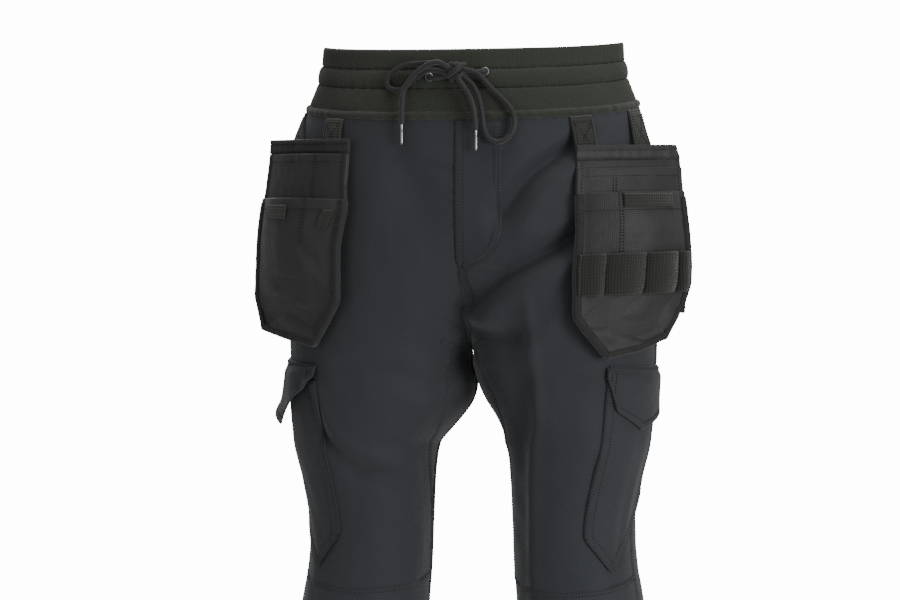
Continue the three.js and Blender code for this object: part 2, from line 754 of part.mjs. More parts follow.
const LOOPS = {
  top: 106,
  foot: 146,
  base: POCKET_CLOTH + 1.4,
  overTape: 0.9,
  stitched: [0.03, 0.2, 0.51, 0.83, 0.97],
};
const LOOP_RISE = [9, 10, 13, 8.5];
const loopStations = [];
LOOP_RISE.forEach((rise, i) => {
  const steps = rise > 8 ? 7 : 5;
  for (let k = i === 0 ? 1 : 0; k < steps; k += 1) {
    const share = lerp(LOOPS.stitched[i], LOOPS.stitched[i + 1], k / steps);
    loopStations.push([share, rise * Math.sin((Math.PI * k) / steps)]);
  }
});
loopStations.unshift([LOOPS.stitched[0], LOOPS.overTape]);
loopStations.push([LOOPS.stitched[4], LOOPS.overTape]);
const loopFace = (out) => (station, v) => {
  const [share, rise] = loopStations[station];
  return onPouch(LOOPS.base + rise + out)(share, v);
};
addBody(
  "holster_tool_loops_left",
  clothSheet([...loopStations.keys()], [LOOPS.top, LOOPS.foot], loopFace(WEBBING), loopFace(0)),
  WEBBING_COLOUR,
);

// On the right holster, a strip of webbing under the pouch's hem and a small tab beside it.
const rightHolster = HOLSTERS[1];
const TRIMS = table(
  ["name", "from", "to", "top", "foot", "slant"],
  [
    ["holster_strip_right", 0.48, 0.8, 66, 80, 0],
    ["holster_tab_right", 0.07, 0.15, 70, 88, 0.03],
  ],
);
for (const trim of TRIMS) {
  const face = (out) => (share, q) => {
    const v = lerp(trim.top, trim.foot, q);
    const across = lerp(trim.from, trim.to, share) + trim.slant * q;
    const u = onOutline(rightHolster, across, v);
    return holsterPoint(rightHolster, u, v, pouchFace(rightHolster, across, v) + POCKET_CLOTH + out);
  };
  addBody(trim.name, clothSheet(evenly(3), [0, 1], face(2.6), face(1)), WEBBING_COLOUR);
}

// Drawcord, tied in a bow at the centre front. Each end comes out of a metal eyelet, runs behind its loop
// into the knot, goes round the loop, back through the knot, and hangs down to a metal tip.
const CORD = { radius: 2.5, sides: 8 };
const KNOT = { centre: new THREE.Vector3(1, -118, -7), radii: new THREE.Vector3(8, 6.5, 7) };
const EYELETS = table(
  ["word", "x", "z"],
  [
    ["right", -27, -12],
    ["left", 28, -7],
  ],
);
const EYELET = { inner: 2.9, outer: 4.6, thickness: 1 };
const TIP = { radius: 2.3, length: 21 };

// A point just off the knot, in a direction from its centre.
function offKnot(x, y, z) {
  const onSurface = new THREE.Vector3(x, y, z).divide(KNOT.radii).normalize().multiply(KNOT.radii);
  const length = onSurface.length();
  return onSurface.multiplyScalar((length + 1.4) / length).add(KNOT.centre);
}

const knot = new THREE.SphereGeometry(1, 16, 10);
knot.scale(KNOT.radii.x, KNOT.radii.y, KNOT.radii.z);
knot.translate(KNOT.centre.x, KNOT.centre.y, KNOT.centre.z);
addBody("drawcord_knot", knot, CORD_COLOUR);

const at = (x, y, z) => new THREE.Vector3(x, y, z);
const CORD_ROUTES = {
  drawcord_entry_right: {
    steps: 5,
    points: [at(-27, -109, -12), at(-26.9, -111.5, -12), at(-23, -113.8, -13.2), offKnot(-9, 4, -5)],
  },
  drawcord_entry_left: {
    steps: 5,
    points: [at(28, -109, -7), at(27.9, -111.5, -7), at(23.5, -113.8, -7.6), offKnot(9, 4.5, -1)],
  },
  drawcord_loop_right: {
    steps: 15,
    points: [
      offKnot(-9, -1.5, -3),
      at(-17, -118, -6.5),
      at(-28, -115.5, -5.7),
      at(-38, -112.5, -11.4),
      at(-53, -110, -22.5),
      at(-61.5, -108.2, -23.7),
      at(-68.5, -106.8, -20.5),
      at(-69.8, -106.2, -13.6),
      at(-66.5, -106.5, -7.8),
      at(-58.4, -108, -2),
      at(-48.3, -110, 1),
      at(-38, -112, 1.5),
      at(-26, -114.5, 1.5),
      offKnot(-9, 0, 3.5),
    ],
  },
  drawcord_loop_left: {
    steps: 18,
    points: [
      offKnot(8, -2, -7),
      at(15.5, -119.5, -19),
      at(21.3, -120.5, -28),
      at(25.3, -121.5, -40.3),
      at(27.6, -122, -54),
      at(29.6, -122, -65.7),
      at(34.1, -122, -73.6),
      at(41.6, -122, -77),
      at(49.3, -121.5, -74.7),
      at(56, -120.5, -67.9),
      at(58.5, -119.5, -57.2),
      at(55.8, -117.5, -46.4),
      at(47, -115, -35.4),
      at(37, -114.5, -25.9),
      at(27.4, -117.5, -15),
      at(19.5, -119, -8.4),
      offKnot(9, -2, 1),
    ],
  },
  drawcord_tail_right: {
    steps: 10,
    points: [
      offKnot(-7, -5, 3.5),
      at(-16.2, -125, 1.2),
      at(-30, -124, -2.9),
      at(-42, -121.5, -12.8),
      at(-50.5, -119.5, -24),
      at(-52.8, -119, -39.5),
      at(-53.2, -119, -58),
    ],
  },
  drawcord_tail_left: {
    steps: 8,
    points: [
      offKnot(2, -5, -6.5),
      at(8, -125.5, -21.5),
      at(14.2, -127, -31),
      at(18.6, -127, -42.7),
      at(20.4, -126, -54.3),
      at(21, -125, -65),
    ],
  },
};

const cordSection = new THREE.Shape();
for (let i = 0; i < CORD.sides; i += 1) {
  const angle = (2 * Math.PI * i) / CORD.sides;
  const draw = i === 0 ? "moveTo" : "lineTo";
  cordSection[draw](CORD.radius * Math.cos(angle), CORD.radius * Math.sin(angle));
}
cordSection.closePath();
for (const [name, { steps, points }] of Object.entries(CORD_ROUTES)) {
  const path = new THREE.CatmullRomCurve3(points, false, "centripetal");
  addBody(name, new THREE.ExtrudeGeometry(cordSection, { steps, extrudePath: path }), CORD_COLOUR);
}

for (const word of ["right", "left"]) {
  const { points } = CORD_ROUTES[`drawcord_tail_${word}`];
  const end = points[points.length - 1];
  const tip = new THREE.CylinderGeometry(TIP.radius, TIP.radius * 0.9, TIP.length, 10);
  tip.rotateX(QUARTER);
  tip.translate(end.x + (word === "left" ? 0.4 : 0), end.y, end.z - SEAM_GAP - TIP.length / 2);
  addBody(`drawcord_tip_${word}`, tip, 0xc8ccd0, SILVER);
}

for (const eyelet of EYELETS) {
  const profile = [
    [EYELET.inner, 0],
    [EYELET.outer, 0],
    [EYELET.outer - 0.5, EYELET.thickness],
    [EYELET.inner + 0.3, EYELET.thickness],
    [EYELET.inner, 0],
  ].map(([radius, height]) => new THREE.Vector2(radius, height));
  const ring = new THREE.LatheGeometry(profile, 16);
  ring.translate(eyelet.x, -109.9, eyelet.z);
  addBody(`eyelet_${eyelet.word}`, ring, 0xc8ccd0, SILVER);
}

export default trousers;
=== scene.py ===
"""Work trousers with two holster pockets and two cargo pockets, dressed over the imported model."""

import math

import bpy
import numpy as np
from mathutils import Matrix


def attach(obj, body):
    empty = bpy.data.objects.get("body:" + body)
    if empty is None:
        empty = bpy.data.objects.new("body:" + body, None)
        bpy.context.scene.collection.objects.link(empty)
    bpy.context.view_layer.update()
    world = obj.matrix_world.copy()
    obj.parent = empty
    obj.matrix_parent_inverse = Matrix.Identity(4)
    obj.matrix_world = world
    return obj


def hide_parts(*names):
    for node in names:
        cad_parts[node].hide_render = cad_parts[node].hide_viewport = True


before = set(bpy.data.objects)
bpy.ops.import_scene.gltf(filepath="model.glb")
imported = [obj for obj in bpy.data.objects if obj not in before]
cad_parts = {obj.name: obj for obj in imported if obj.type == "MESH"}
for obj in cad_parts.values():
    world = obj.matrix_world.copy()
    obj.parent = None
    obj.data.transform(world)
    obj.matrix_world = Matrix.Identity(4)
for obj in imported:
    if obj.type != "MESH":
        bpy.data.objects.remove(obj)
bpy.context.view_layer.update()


# The studio. The camera stands level with the hips, a little to the wearer's right of straight ahead, and
# a long lens takes in the waist to just under the knees. A large soft lamp stands low at the wearer's left
# in a bright white room, so the black cloth shows its folds by their soft edges.
VIEW_TURN = math.radians(9)
CAMERA_DISTANCE = 2.3
CAMERA_HEIGHT = -0.231
SIDESHIFT = -0.0237
LENS = 89.3
FLOOR_HEIGHT = -1.021
FLOOR_RADIUS = 1.5
FLOOR_SIDES = 96


def linear(hex_colour):
    """An sRGB hex colour as Blender's linear colour."""
    channels = [int(hex_colour[i:i + 2], 16) / 255 for i in (1, 3, 5)]
    return (*[c / 12.92 if c <= 0.04045 else ((c + 0.055) / 1.055) ** 2.4 for c in channels], 1)


def add_node(tree, kind, inputs=(), **settings):
    """Adds a node. inputs maps a socket's name or number to its value, or to the socket that feeds it."""
    node = tree.nodes.new(kind)
    for name, value in settings.items():
        setattr(node, name, value)
    for key, value in dict(inputs).items():
        if isinstance(value, bpy.types.NodeSocket):
            tree.links.new(value, node.inputs[key])
        else:
            node.inputs[key].default_value = value
    return node


def put_in_scene(name, data):
    thing = bpy.data.objects.new(name, data)
    bpy.context.scene.collection.objects.link(thing)
    return thing


camera = put_in_scene("camera", bpy.data.cameras.new("camera"))
camera.data.lens = LENS
camera.data.sensor_width = 36
camera.location = (
    SIDESHIFT * math.cos(VIEW_TURN) + CAMERA_DISTANCE * math.sin(VIEW_TURN),
    SIDESHIFT * math.sin(VIEW_TURN) - CAMERA_DISTANCE * math.cos(VIEW_TURN),
    CAMERA_HEIGHT,
)
camera.rotation_euler = (math.pi / 2, 0, VIEW_TURN)
bpy.context.scene.camera = camera

for name, place, aim, size, watts in (
    ("key_lamp", (2.3, -1.9, -0.15), (0, 0, -0.6), 1.3, 50),
    ("fill_lamp", (-1.2, -2.7, -0.3), (0, 0, -0.6), 1.8, 11),
    ("top_lamp", (0.3, -0.6, 2.0), (0, 0, -0.3), 1.2, 17),
    ("back_lamp", (-0.8, 2.2, 0.9), (0, 0, -0.4), 1.6, 24),
):
    lamp = put_in_scene(name, bpy.data.lights.new(name, "AREA"))
    lamp.data.size = size
    lamp.data.energy = watts
    lamp.location = place
    back = np.array(place) - np.array(aim)
    lamp.rotation_euler = (
        math.acos(back[2] / np.linalg.norm(back)), 0, math.atan2(back[1], back[0]) + math.pi / 2)

room = bpy.data.worlds.new("white_room")
room.use_nodes = True
room.node_tree.nodes.clear()
seen = add_node(room.node_tree, "ShaderNodeBackground", {"Color": (1, 1, 1, 1), "Strength": 14})
shed = add_node(room.node_tree, "ShaderNodeBackground", {"Color": (1, 1, 1, 1), "Strength": 0.27})
path = add_node(room.node_tree, "ShaderNodeLightPath")
both = add_node(room.node_tree, "ShaderNodeMixShader", {
    0: path.outputs["Is Camera Ray"], 1: shed.outputs[0], 2: seen.outputs[0]})
add_node(room.node_tree, "ShaderNodeOutputWorld", {"Surface": both.outputs[0]})
bpy.context.scene.world = room

floor_turns = np.linspace(0, 2 * math.pi, FLOOR_SIDES, endpoint=False)
floor_edge = [(FLOOR_RADIUS * math.cos(a), FLOOR_RADIUS * math.sin(a), FLOOR_HEIGHT) for a in floor_turns]
floor_mesh = bpy.data.meshes.new("floor")
floor_mesh.from_pydata(floor_edge, [], [list(range(FLOOR_SIDES))])
floor = put_in_scene("floor", floor_mesh)
paint = bpy.data.materials.new("matt white painted board")
paint.use_nodes = True
matt = paint.node_tree.nodes["Principled BSDF"]
matt.inputs["Base Color"].default_value = linear("#f0f0ee")
matt.inputs["Roughness"].default_value = 0.9
floor_mesh.materials.append(paint)


# The drawcord: a round braided polyester cord, 5 mm thick, one end from each eyelet. Each end runs into the
# knot, round its loop of the bow, through the knot again and down to a crimped metal tip.
CORD_RADIUS = 2.5
KNOT_CENTRE = np.array((1, -118, -7))
KNOT_RADII = np.array((8, 6.5, 7))
CORD_SIDES = 16
BRAID_STRANDS = 4
BRAID_LENGTH = 5.5
BRAID_RELIEF = 0.07
MM = 0.001


def off_knot(x, y, z):
    """A point just off the knot, in a direction from its centre."""
    on_surface = np.array((x, y, z)) / KNOT_RADII
    on_surface = on_surface / np.linalg.norm(on_surface) * KNOT_RADII
    return tuple(KNOT_CENTRE + on_surface * (1 + 1.4 / np.linalg.norm(on_surface)))


CORD_ROUTES = {
    "right": [
        (-27, -109, -12), (-26.9, -111.5, -12), (-23, -113.8, -13.2), off_knot(-9, 4, -5),
        (-1, -116, -9.5), (0, -118.5, -9), off_knot(-9, -1.5, -3),
        (-17, -118, -6.5), (-28, -115.5, -5.7), (-38, -112.5, -11.4), (-53, -110, -22.5),
        (-61.5, -108.2, -23.7), (-68.5, -106.8, -20.5), (-69.8, -106.2, -13.6), (-66.5, -106.5, -7.8),
        (-58.4, -108, -2), (-48.3, -110, 1), (-38, -112, 1.5), (-26, -114.5, 1.5),
        off_knot(-9, 0, 3.5), (1, -119, -4), off_knot(-7, -5, 3.5),
        (-16.2, -125, 1.2), (-30, -124, -2.9), (-42, -121.5, -12.8), (-50.5, -119.5, -24),
        (-52.8, -119, -39.5), (-53.2, -119, -58),
    ],
    "left": [
        (28, -109, -7), (27.9, -111.5, -7), (23.5, -113.8, -7.6), off_knot(9, 4.5, -1),
        (2.5, -116, -5.5), (2, -118, -8.5), off_knot(8, -2, -7),
        (15.5, -119.5, -19), (21.3, -120.5, -28), (25.3, -121.5, -40.3), (27.6, -122, -54),
        (29.6, -122, -65.7), (34.1, -122, -73.6), (41.6, -122, -77), (49.3, -121.5, -74.7),
        (56, -120.5, -67.9), (58.5, -119.5, -57.2), (55.8, -117.5, -46.4), (47, -115, -35.4),
        (37, -114.5, -25.9), (27.4, -117.5, -15), (19.5, -119, -8.4), off_knot(9, -2, 1),
        (0.5, -119.5, -4.5), off_knot(2, -5, -6.5),
        (8, -125.5, -21.5), (14.2, -127, -31), (18.6, -127, -42.7), (20.4, -126, -54.3), (21, -125, -65),
    ],
}


def run_along(path):
    """How far along a path each of its points lies."""
    return np.concatenate([[0], np.cumsum(np.linalg.norm(np.diff(path, axis=0), axis=1))])


def smooth_path(points, spacing):
    """A smooth curve through the points, as evenly spaced points along it."""
    points = np.array(points, float)
    ends = np.vstack([2 * points[0] - points[1], points, 2 * points[-1] - points[-2]])
    curve = []
    for i in range(len(points) - 1):
        p = ends[i:i + 4]
        knots = np.cumsum([0, *np.linalg.norm(np.diff(p, axis=0), axis=1) ** 0.5])
        t = np.linspace(knots[1], knots[2], 24, endpoint=False)[:, None]

        def blend(a, b, i, j):
            return ((knots[j] - t) * a + (t - knots[i]) * b) / (knots[j] - knots[i])

        a = [blend(p[k], p[k + 1], k, k + 1) for k in range(3)]
        curve.append(blend(blend(a[0], a[1], 0, 2), blend(a[1], a[2], 1, 3), 1, 2))
    curve = np.vstack([*curve, points[-1:]])
    run = run_along(curve)
    stops = np.linspace(0, run[-1], max(2, round(run[-1] / spacing) + 1))
    return np.stack([np.interp(stops, run, curve[:, k]) for k in range(3)], axis=1)


def unit(vectors):
    return vectors / np.maximum(np.linalg.norm(vectors, axis=-1, keepdims=True), 1e-9)


def tube_sections(path, radius, sides, braid=0.0):
    """Round sections along a path. braid raises the crossing strands by that share of the radius."""
    along = unit(np.gradient(path, axis=0))
    across = [unit(np.cross(along[0], (0.3, 0.2, 1)))]
    for tangent in along[1:]:
        across.append(unit(across[-1] - tangent * np.dot(across[-1], tangent)))
    across = np.array(across)
    over = np.cross(along, across)
    run = run_along(path)[:, None]
    turn = np.linspace(0, 2 * math.pi, sides, endpoint=False)[None, :]
    lay = run * 2 * math.pi / BRAID_LENGTH
    strands = np.sin(BRAID_STRANDS * turn + lay) * np.sin(BRAID_STRANDS * turn - lay)
    reach = np.broadcast_to(np.asarray(radius, float).reshape(-1, 1), strands.shape) * (1 + braid * strands)
    ring = np.cos(turn)[..., None] * across[:, None] + np.sin(turn)[..., None] * over[:, None]
    return path[:, None] + reach[..., None] * ring


def swept(sections, closed=False):
    """A closed body through a row of closed sections, as points, faces and UVs in metres."""
    stations, size = sections.shape[:2]
    points = sections.reshape(-1, 3)
    at = np.arange(stations * size).reshape(stations, size)
    if closed:
        at = np.vstack([at, at[:1]])
    after = np.roll(at, -1, axis=1)
    quads = np.stack([at[:-1], after[:-1], after[1:], at[1:]], axis=-1).reshape(-1, 4)
    faces = quads.tolist() + ([] if closed else [at[0, ::-1].tolist(), at[-1].tolist()])
    run = run_along(sections.mean(1))
    uv = np.stack(np.broadcast_arrays(np.arange(size)[None, :] * 1.0, run[:, None]), axis=-1).reshape(-1, 2)
    return outward(points, faces), uv * MM


def outward(points, faces):
    """Turns the faces of a closed body outwards."""
    first = np.array([face[:3] for face in faces])
    corners = points[first] - points.mean(0)
    spans = [points[face] - points.mean(0) for face in faces if len(face) > 4]
    volume = np.einsum("ij,ij->i", corners[:, 0], np.cross(corners[:, 1], corners[:, 2])).sum()
    quads = np.array([face for face in faces if len(face) == 4])
    rest = points[quads[:, [0, 2, 3]]] - points.mean(0)
    volume += np.einsum("ij,ij->i", rest[:, 0], np.cross(rest[:, 1], rest[:, 2])).sum()
    for fan in spans:
        for i in range(2, len(fan) - 1):
            volume += fan[0] @ np.cross(fan[i], fan[i + 1])
    return points, [face[::-1] for face in faces] if volume < 0 else faces


def make_piece(name, bodies, material, replaced, sharp=40):
    """One object from closed bodies, which rides on the trousers and stands for the CAD nodes named."""
    points, faces, uvs = [], [], []
    for (body_points, body_faces), uv in bodies:
        start = sum(len(p) for p in points)
        points.append(body_points * MM)
        faces += [[i + start for i in face] for face in body_faces]
        uvs.append(uv)
    mesh = bpy.data.meshes.new(name)
    mesh.from_pydata(np.vstack(points).tolist(), [], faces)
    corner = np.zeros(len(mesh.loops), np.int32)
    mesh.loops.foreach_get("vertex_index", corner)
    uv_map = mesh.uv_layers.new(name="UVMap")
    uv_map.data.foreach_set("uv", np.vstack(uvs)[corner].astype(np.float32).ravel())
    mesh.polygons.foreach_set("use_smooth", [True] * len(mesh.polygons))
    mesh.set_sharp_from_angle(angle=math.radians(sharp))
    mesh.materials.append(material)
    piece = put_in_scene(name, mesh)
    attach(piece, "root")
    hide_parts(*replaced)
    return piece


def new_material(name, colour, roughness, sheen=0.0, metallic=0.0):
    """A material, its node tree, its Principled shader and a node with the places on the piece."""
    material = bpy.data.materials.new(name)
    material.use_nodes = True
    tree = material.node_tree
    tree.nodes.clear()
    skin = add_node(tree, "ShaderNodeBsdfPrincipled", {
        "Base Color": linear(colour), "Roughness": roughness, "Sheen Weight": sheen, "Metallic": metallic})
    add_node(tree, "ShaderNodeOutputMaterial", {"Surface": skin.outputs[0]})
    return material, tree, skin, add_node(tree, "ShaderNodeTexCoord")


# Braided polyester: near-black filament with a soft shine on the crowns of the strands.
cord_finish, tree, skin, place = new_material("braided polyester cord", "#1b1b1c", 0.62, sheen=0.25)
fibre = add_node(tree, "ShaderNodeTexNoise", {0: place.outputs["Object"], "Scale": 1400, "Detail": 3})
fuzz = add_node(tree, "ShaderNodeBump", {"Height": fibre.outputs[0], "Strength": 0.35, "Distance": 0.0003})
tree.links.new(fuzz.outputs[0], skin.inputs["Normal"])

# Nickel-plated brass: bright, turned and polished, with faint turning marks round it.
nickel, tree, skin, place = new_material("nickel-plated brass", "#96989b", 0.3, metallic=1.0)
marks = add_node(tree, "ShaderNodeTexNoise", {0: place.outputs["Object"], "Scale": 900, "Detail": 2})
wear = add_node(tree, "ShaderNodeMapRange", {0: marks.outputs[0], 3: 0.18, 4: 0.34})
tree.links.new(wear.outputs[0], skin.inputs["Roughness"])

# The metal tip is a thin tube crimped round the cord's end, with a rolled lip and a domed foot: its radii,
# and how far down each one lies.
TIP_RADII = np.array((1.5, 1.75, 1.75, 1.6, 1.6, 1.4, 1.4, 1.6, 1.55, 1.5, 1.3, 0.9, 0.25))
TIP_DOWN = np.array((0, 0.5, 1.2, 2, 3, 4.5, 5.5, 6.5, 17, 18.5, 19.7, 20.5, 21))
TIP_START = {"right": (0, 0, -0.1), "left": (0.4, 0, -0.1)}
lines = {word: smooth_path(points, 0.9) for word, points in CORD_ROUTES.items()}
for word, points in CORD_ROUTES.items():
    braided = tube_sections(lines[word], CORD_RADIUS, CORD_SIDES, BRAID_RELIEF)
    make_piece(
        f"drawcord_{word}", [swept(braided)], cord_finish,
        [f"drawcord_{part}_{word}" for part in ("entry", "loop", "tail")], sharp=80)
    axis = np.array(points[-1]) + TIP_START[word] + np.outer(TIP_DOWN, (0, 0, -1))
    make_piece(
        f"drawcord_tip_{word}_metal", [swept(tube_sections(axis, TIP_RADII, 24))], nickel,
        [f"drawcord_tip_{word}"], sharp=50)

# The knot: the cord drawn tight round itself, with one turn lying aslant over the front, and the crossed
# cord inside. Each part has its radius, the height of its braid, and its path.
KNOT_PARTS = [
    (2.6, BRAID_RELIEF,
     [(-8, -113.5, -12), (-5, -121, -10.5), (1, -125, -6.5), (6, -123, -2.5), (9.5, -116.5, -1)]),
    (2.6, BRAID_RELIEF,
     [(-6.5, -113, -3.5), (-5.5, -119.5, -1.5), (-1, -122.6, -1.2), (4.5, -119, -1), (6, -112.5, -1.5)]),
    (2.6, BRAID_RELIEF,
     [(-4, -113, -14.5), (-2.5, -119.5, -14), (4, -122.5, -12.5), (8.5, -119, -9.5), (9.5, -112.5, -8.5)]),
    (4.6, 0.05,
     [(-5.5, -117, -7), (0, -117.5, -7), (7.5, -117, -7)]),
]
turns = []
for radius, braid, path in KNOT_PARTS:
    turns.append(swept(tube_sections(smooth_path(path, 0.8), radius, CORD_SIDES, braid)))
knot = make_piece("drawcord_knot_tied", turns, cord_finish, ["drawcord_knot"], sharp=80)

# Two eyelets pressed into the channel, each a rolled ring with a dark hole that the cord comes out of.
EYELET_PROFILE = ((2.9, -0.6), (3.0, 0.5), (3.4, 0.95), (3.9, 1.0), (4.4, 0.6), (4.6, 0), (4.5, -0.6))
EYELET_Y = -109.9
for word, x, z in (("right", -27, -12), ("left", 28, -7)):
    sections = np.array([
        [(x + r * math.cos(a), EYELET_Y - h, z + r * math.sin(a)) for r, h in EYELET_PROFILE]
        for a in np.linspace(0, 2 * math.pi, 48, endpoint=False)])
    make_piece(f"eyelet_{word}_metal", [swept(sections, closed=True)], nickel, [f"eyelet_{word}"])


# The waistband: a double-faced rib knit in polyester and elastane, stretched round the waist in three
# tiers. Two rows of stitching make the drawcord channel, and the band is rolled into the waist seam.
LEFT, RIGHT = 1, -1
FRONT, BACK = -1, 1
CROTCH = -277
CROTCH_CURVE_TOPS = (-125, -135)
ROUNDNESS = 2.15
WAIST_SEAM = {"side": -33, "front_drop": 20, "back_rise": 8}
WAIST_TOP = {"side": 32, "front_drop": 16, "back_rise": 8}
RIB_KNIT = 3

# The half garment on the wearer's left, level by level, in mm: height, x of the outermost cloth, x of the
# innermost cloth of the leg, x of the foremost and rearmost cloth, y of those, and how far forward of the
# outermost cloth the side seam runs.
LEVELS = np.array([
    (48, 154, .2, 8, -100, 104, 0), (32, 154.5, .2, 8, -101, 105, 0), (8, 156, .2, 8, -103, 107, 0),
    (-9, 160, .2, 9, -106, 110, 0), (-33, 170.5, .2, 14, -110, 115, 0),
    (-56, 177.5, .2, 22, -113, 120, 0), (-90, 184, .2, 33, -116, 127, 1),
    (-128, 188, .2, 45, -117, 132, 2), (-179, 190, .2, 60, -116, 135, 4),
    (-231, 190, .2, 76, -111, 130, 7), (-277, 189, .2, 90, -104, 117, 10),
    (-284, 188.7, 1.6, 91, -103, 115, 10), (-311, 187.5, 1.4, 94, -100, 108, 12),
    (-334, 185, 8, 97, -98, 102, 14), (-349, 183.5, 18, 101, -96.5, 99, 15),
    (-365, 181.5, 28.5, 104, -95, 96, 16), (-380, 179.5, 35.5, 106, -93, 94, 17),
    (-411, 172.5, 40, 104, -90, 89, 19), (-457, 166.5, 42, 103, -86, 82, 22),
    (-504, 169.5, 43.5, 106, -83, 72, 24), (-540, 176, 46, 110, -81, 66, 24),
    (-620, 181, 50, 115, -76, 74, 22), (-700, 178, 52, 115, -68, 87, 18),
    (-850, 169, 58, 113, -57, 84, 10), (-1018, 165, 63, 114, -50, 70, 4),
])
HEIGHT, SIDE, INNER, CENTRE, FRONT_Y, BACK_Y, SEAM = range(7)

level_steps = np.diff(LEVELS, axis=0) / np.diff(LEVELS[:, HEIGHT])[:, None]
level_slopes = np.vstack([level_steps[:1], np.zeros((len(LEVELS) - 2, 7)), level_steps[-1:]])
for row in range(1, len(LEVELS) - 1):
    before, after = level_steps[row - 1], level_steps[row]
    mean = (before + after) / 2
    limited = np.sign(mean) * np.minimum(np.abs(mean), 3 * np.minimum(np.abs(before), np.abs(after)))
    level_slopes[row] = np.where(before * after > 0, limited, 0)


def level_at(column, z):
    """One column of the levels at heights z, with no overshoot between its rows."""
    z = np.clip(z, LEVELS[-1, HEIGHT], LEVELS[0, HEIGHT])
    i = np.clip(np.searchsorted(-LEVELS[:, HEIGHT], -z, side="right") - 1, 0, len(LEVELS) - 2)
    span = LEVELS[i + 1, HEIGHT] - LEVELS[i, HEIGHT]
    t = (z - LEVELS[i, HEIGHT]) / span
    return (
        LEVELS[i, column] * (1 + 2 * t) * (1 - t) ** 2
        + level_slopes[i, column] * span * t * (1 - t) ** 2
        + LEVELS[i + 1, column] * t * t * (3 - 2 * t)
        + level_slopes[i + 1, column] * span * t * t * (t - 1))


def plain_point(half, turn, z):
    """The plain surface on the wearer's left. turn is 0 outermost, 1 foremost or rearmost, 2 at the centre
    seam or the inseam; past either end it goes on into the next half or leg."""
    half, turn, z = (np.asarray(given, float) for given in np.broadcast_arrays(half, turn, z))
    half = np.where(turn < 0, -half, half)
    turn = np.abs(turn)
    past = turn > 2
    turn = np.where(past, 4 - turn, turn)
    half = np.where(past & (z < CROTCH), -half, half)
    centre, side, inner = (level_at(column, z) for column in (CENTRE, SIDE, INNER))
    depth = np.where(half < 0, level_at(FRONT_Y, z), level_at(BACK_Y, z))
    angle = np.clip(turn, 0, 1) * math.pi / 2
    x_out = centre + (side - centre) * np.cos(angle).clip(0) ** (2 / ROUNDNESS)
    y_out = depth * np.sin(angle) ** (2 / ROUNDNESS)
    reach = np.sin(np.clip(turn - 1, 0, 1) * math.pi / 2)
    top = np.where(half < 0, *CROTCH_CURVE_TOPS)
    down = np.clip((top - z) / (top - CROTCH), 0, 1)
    kept = np.where(z > CROTCH, np.sqrt(1 - down ** 2.4) ** ROUNDNESS, 0)
    end = np.where(z > CROTCH, 0, inner)
    x_in = centre + (end - centre) * reach
    y_in = depth * (1 - reach ** ROUNDNESS * (1 - kept)).clip(0) ** (1 / ROUNDNESS)
    x = np.where(turn <= 1, x_out, x_in)
    return np.stack([np.where(past & (z >= CROTCH), -x, x), np.where(turn <= 1, y_out, y_in), z], axis=-1)


ARC_STEPS = 96
ARC_HEIGHTS = np.arange(-1025.0, 56.0)
arc_turns = np.linspace(0, 2, ARC_STEPS + 1)
arc_points = {half: plain_point(half, arc_turns[None, :], ARC_HEIGHTS[:, None]) for half in (FRONT, BACK)}
arc_lengths = {}
for half, points in arc_points.items():
    steps = np.linalg.norm(np.diff(points, axis=1), axis=-1)
    arc_lengths[half] = np.concatenate([np.zeros((len(steps), 1)), np.cumsum(steps, axis=1)], axis=1)


def from_table(tables, half, z):
    """The row of a table for heights z, halfway rows blended."""
    row = np.clip(np.asarray(z, float) - ARC_HEIGHTS[0], 0, len(ARC_HEIGHTS) - 1.001)
    low = row.astype(int)
    part = (row - low)[..., None]
    return tables[half][low] * (1 - part) + tables[half][low + 1] * part


def half_length(half, z):
    return from_table(arc_lengths, half, z)[..., ARC_STEPS]


def turn_at(half, distance, z):
    """The turn at a distance along the cloth from the outermost point. Negative is on the other half."""
    distance, z = (np.asarray(given, float) for given in np.broadcast_arrays(distance, z))

    def found(half, distance):
        lengths = from_table(arc_lengths, half, z)
        i = np.clip((lengths < distance[..., None]).sum(-1), 1, ARC_STEPS)[..., None]
        before = np.take_along_axis(lengths, i - 1, -1)[..., 0]
        after = np.take_along_axis(lengths, i, -1)[..., 0]
        return 2 * (i[..., 0] - 1 + np.clip((distance - before) / (after - before), 0, 1)) / ARC_STEPS

    return np.where(distance < 0, -found(-half, -distance), found(half, distance))


def outward_normal(half, turn, z):
    along = plain_point(half, turn + 0.03, z) - plain_point(half, turn - 0.03, z)
    up = plain_point(half, turn, z + 2.5) - plain_point(half, turn, z - 2.5)
    return unit(np.cross(up, along) * -half)


def waist_line(line, half, turn):
    """Height of a line sewn round the waist, which drops to the front and rises to the back."""
    to_centre = np.sin(np.clip(turn, 0, 1) * math.pi / 2)
    return line["side"] + (-line["front_drop"] if half == FRONT else line["back_rise"]) * to_centre


def smoothstep(x, low, high):
    t = np.clip((x - low) / (high - low), 0, 1)
    return t * t * (3 - 2 * t)


def waves(seed, count, shortest, longest, *places):
    """Slow uneven waves over a surface, mostly between -1 and 1: sines of random lengths and directions."""
    draw = np.random.RandomState(seed)
    total = 0
    for _ in range(count):
        length = draw.uniform(shortest, longest)
        heading = unit(draw.normal(size=len(places)))
        total = total + np.sin(sum(h * p for h, p in zip(heading, places)) * 2 * math.pi / length
                               + draw.uniform(0, 6.28))
    return total / count ** 0.5 / 1.5


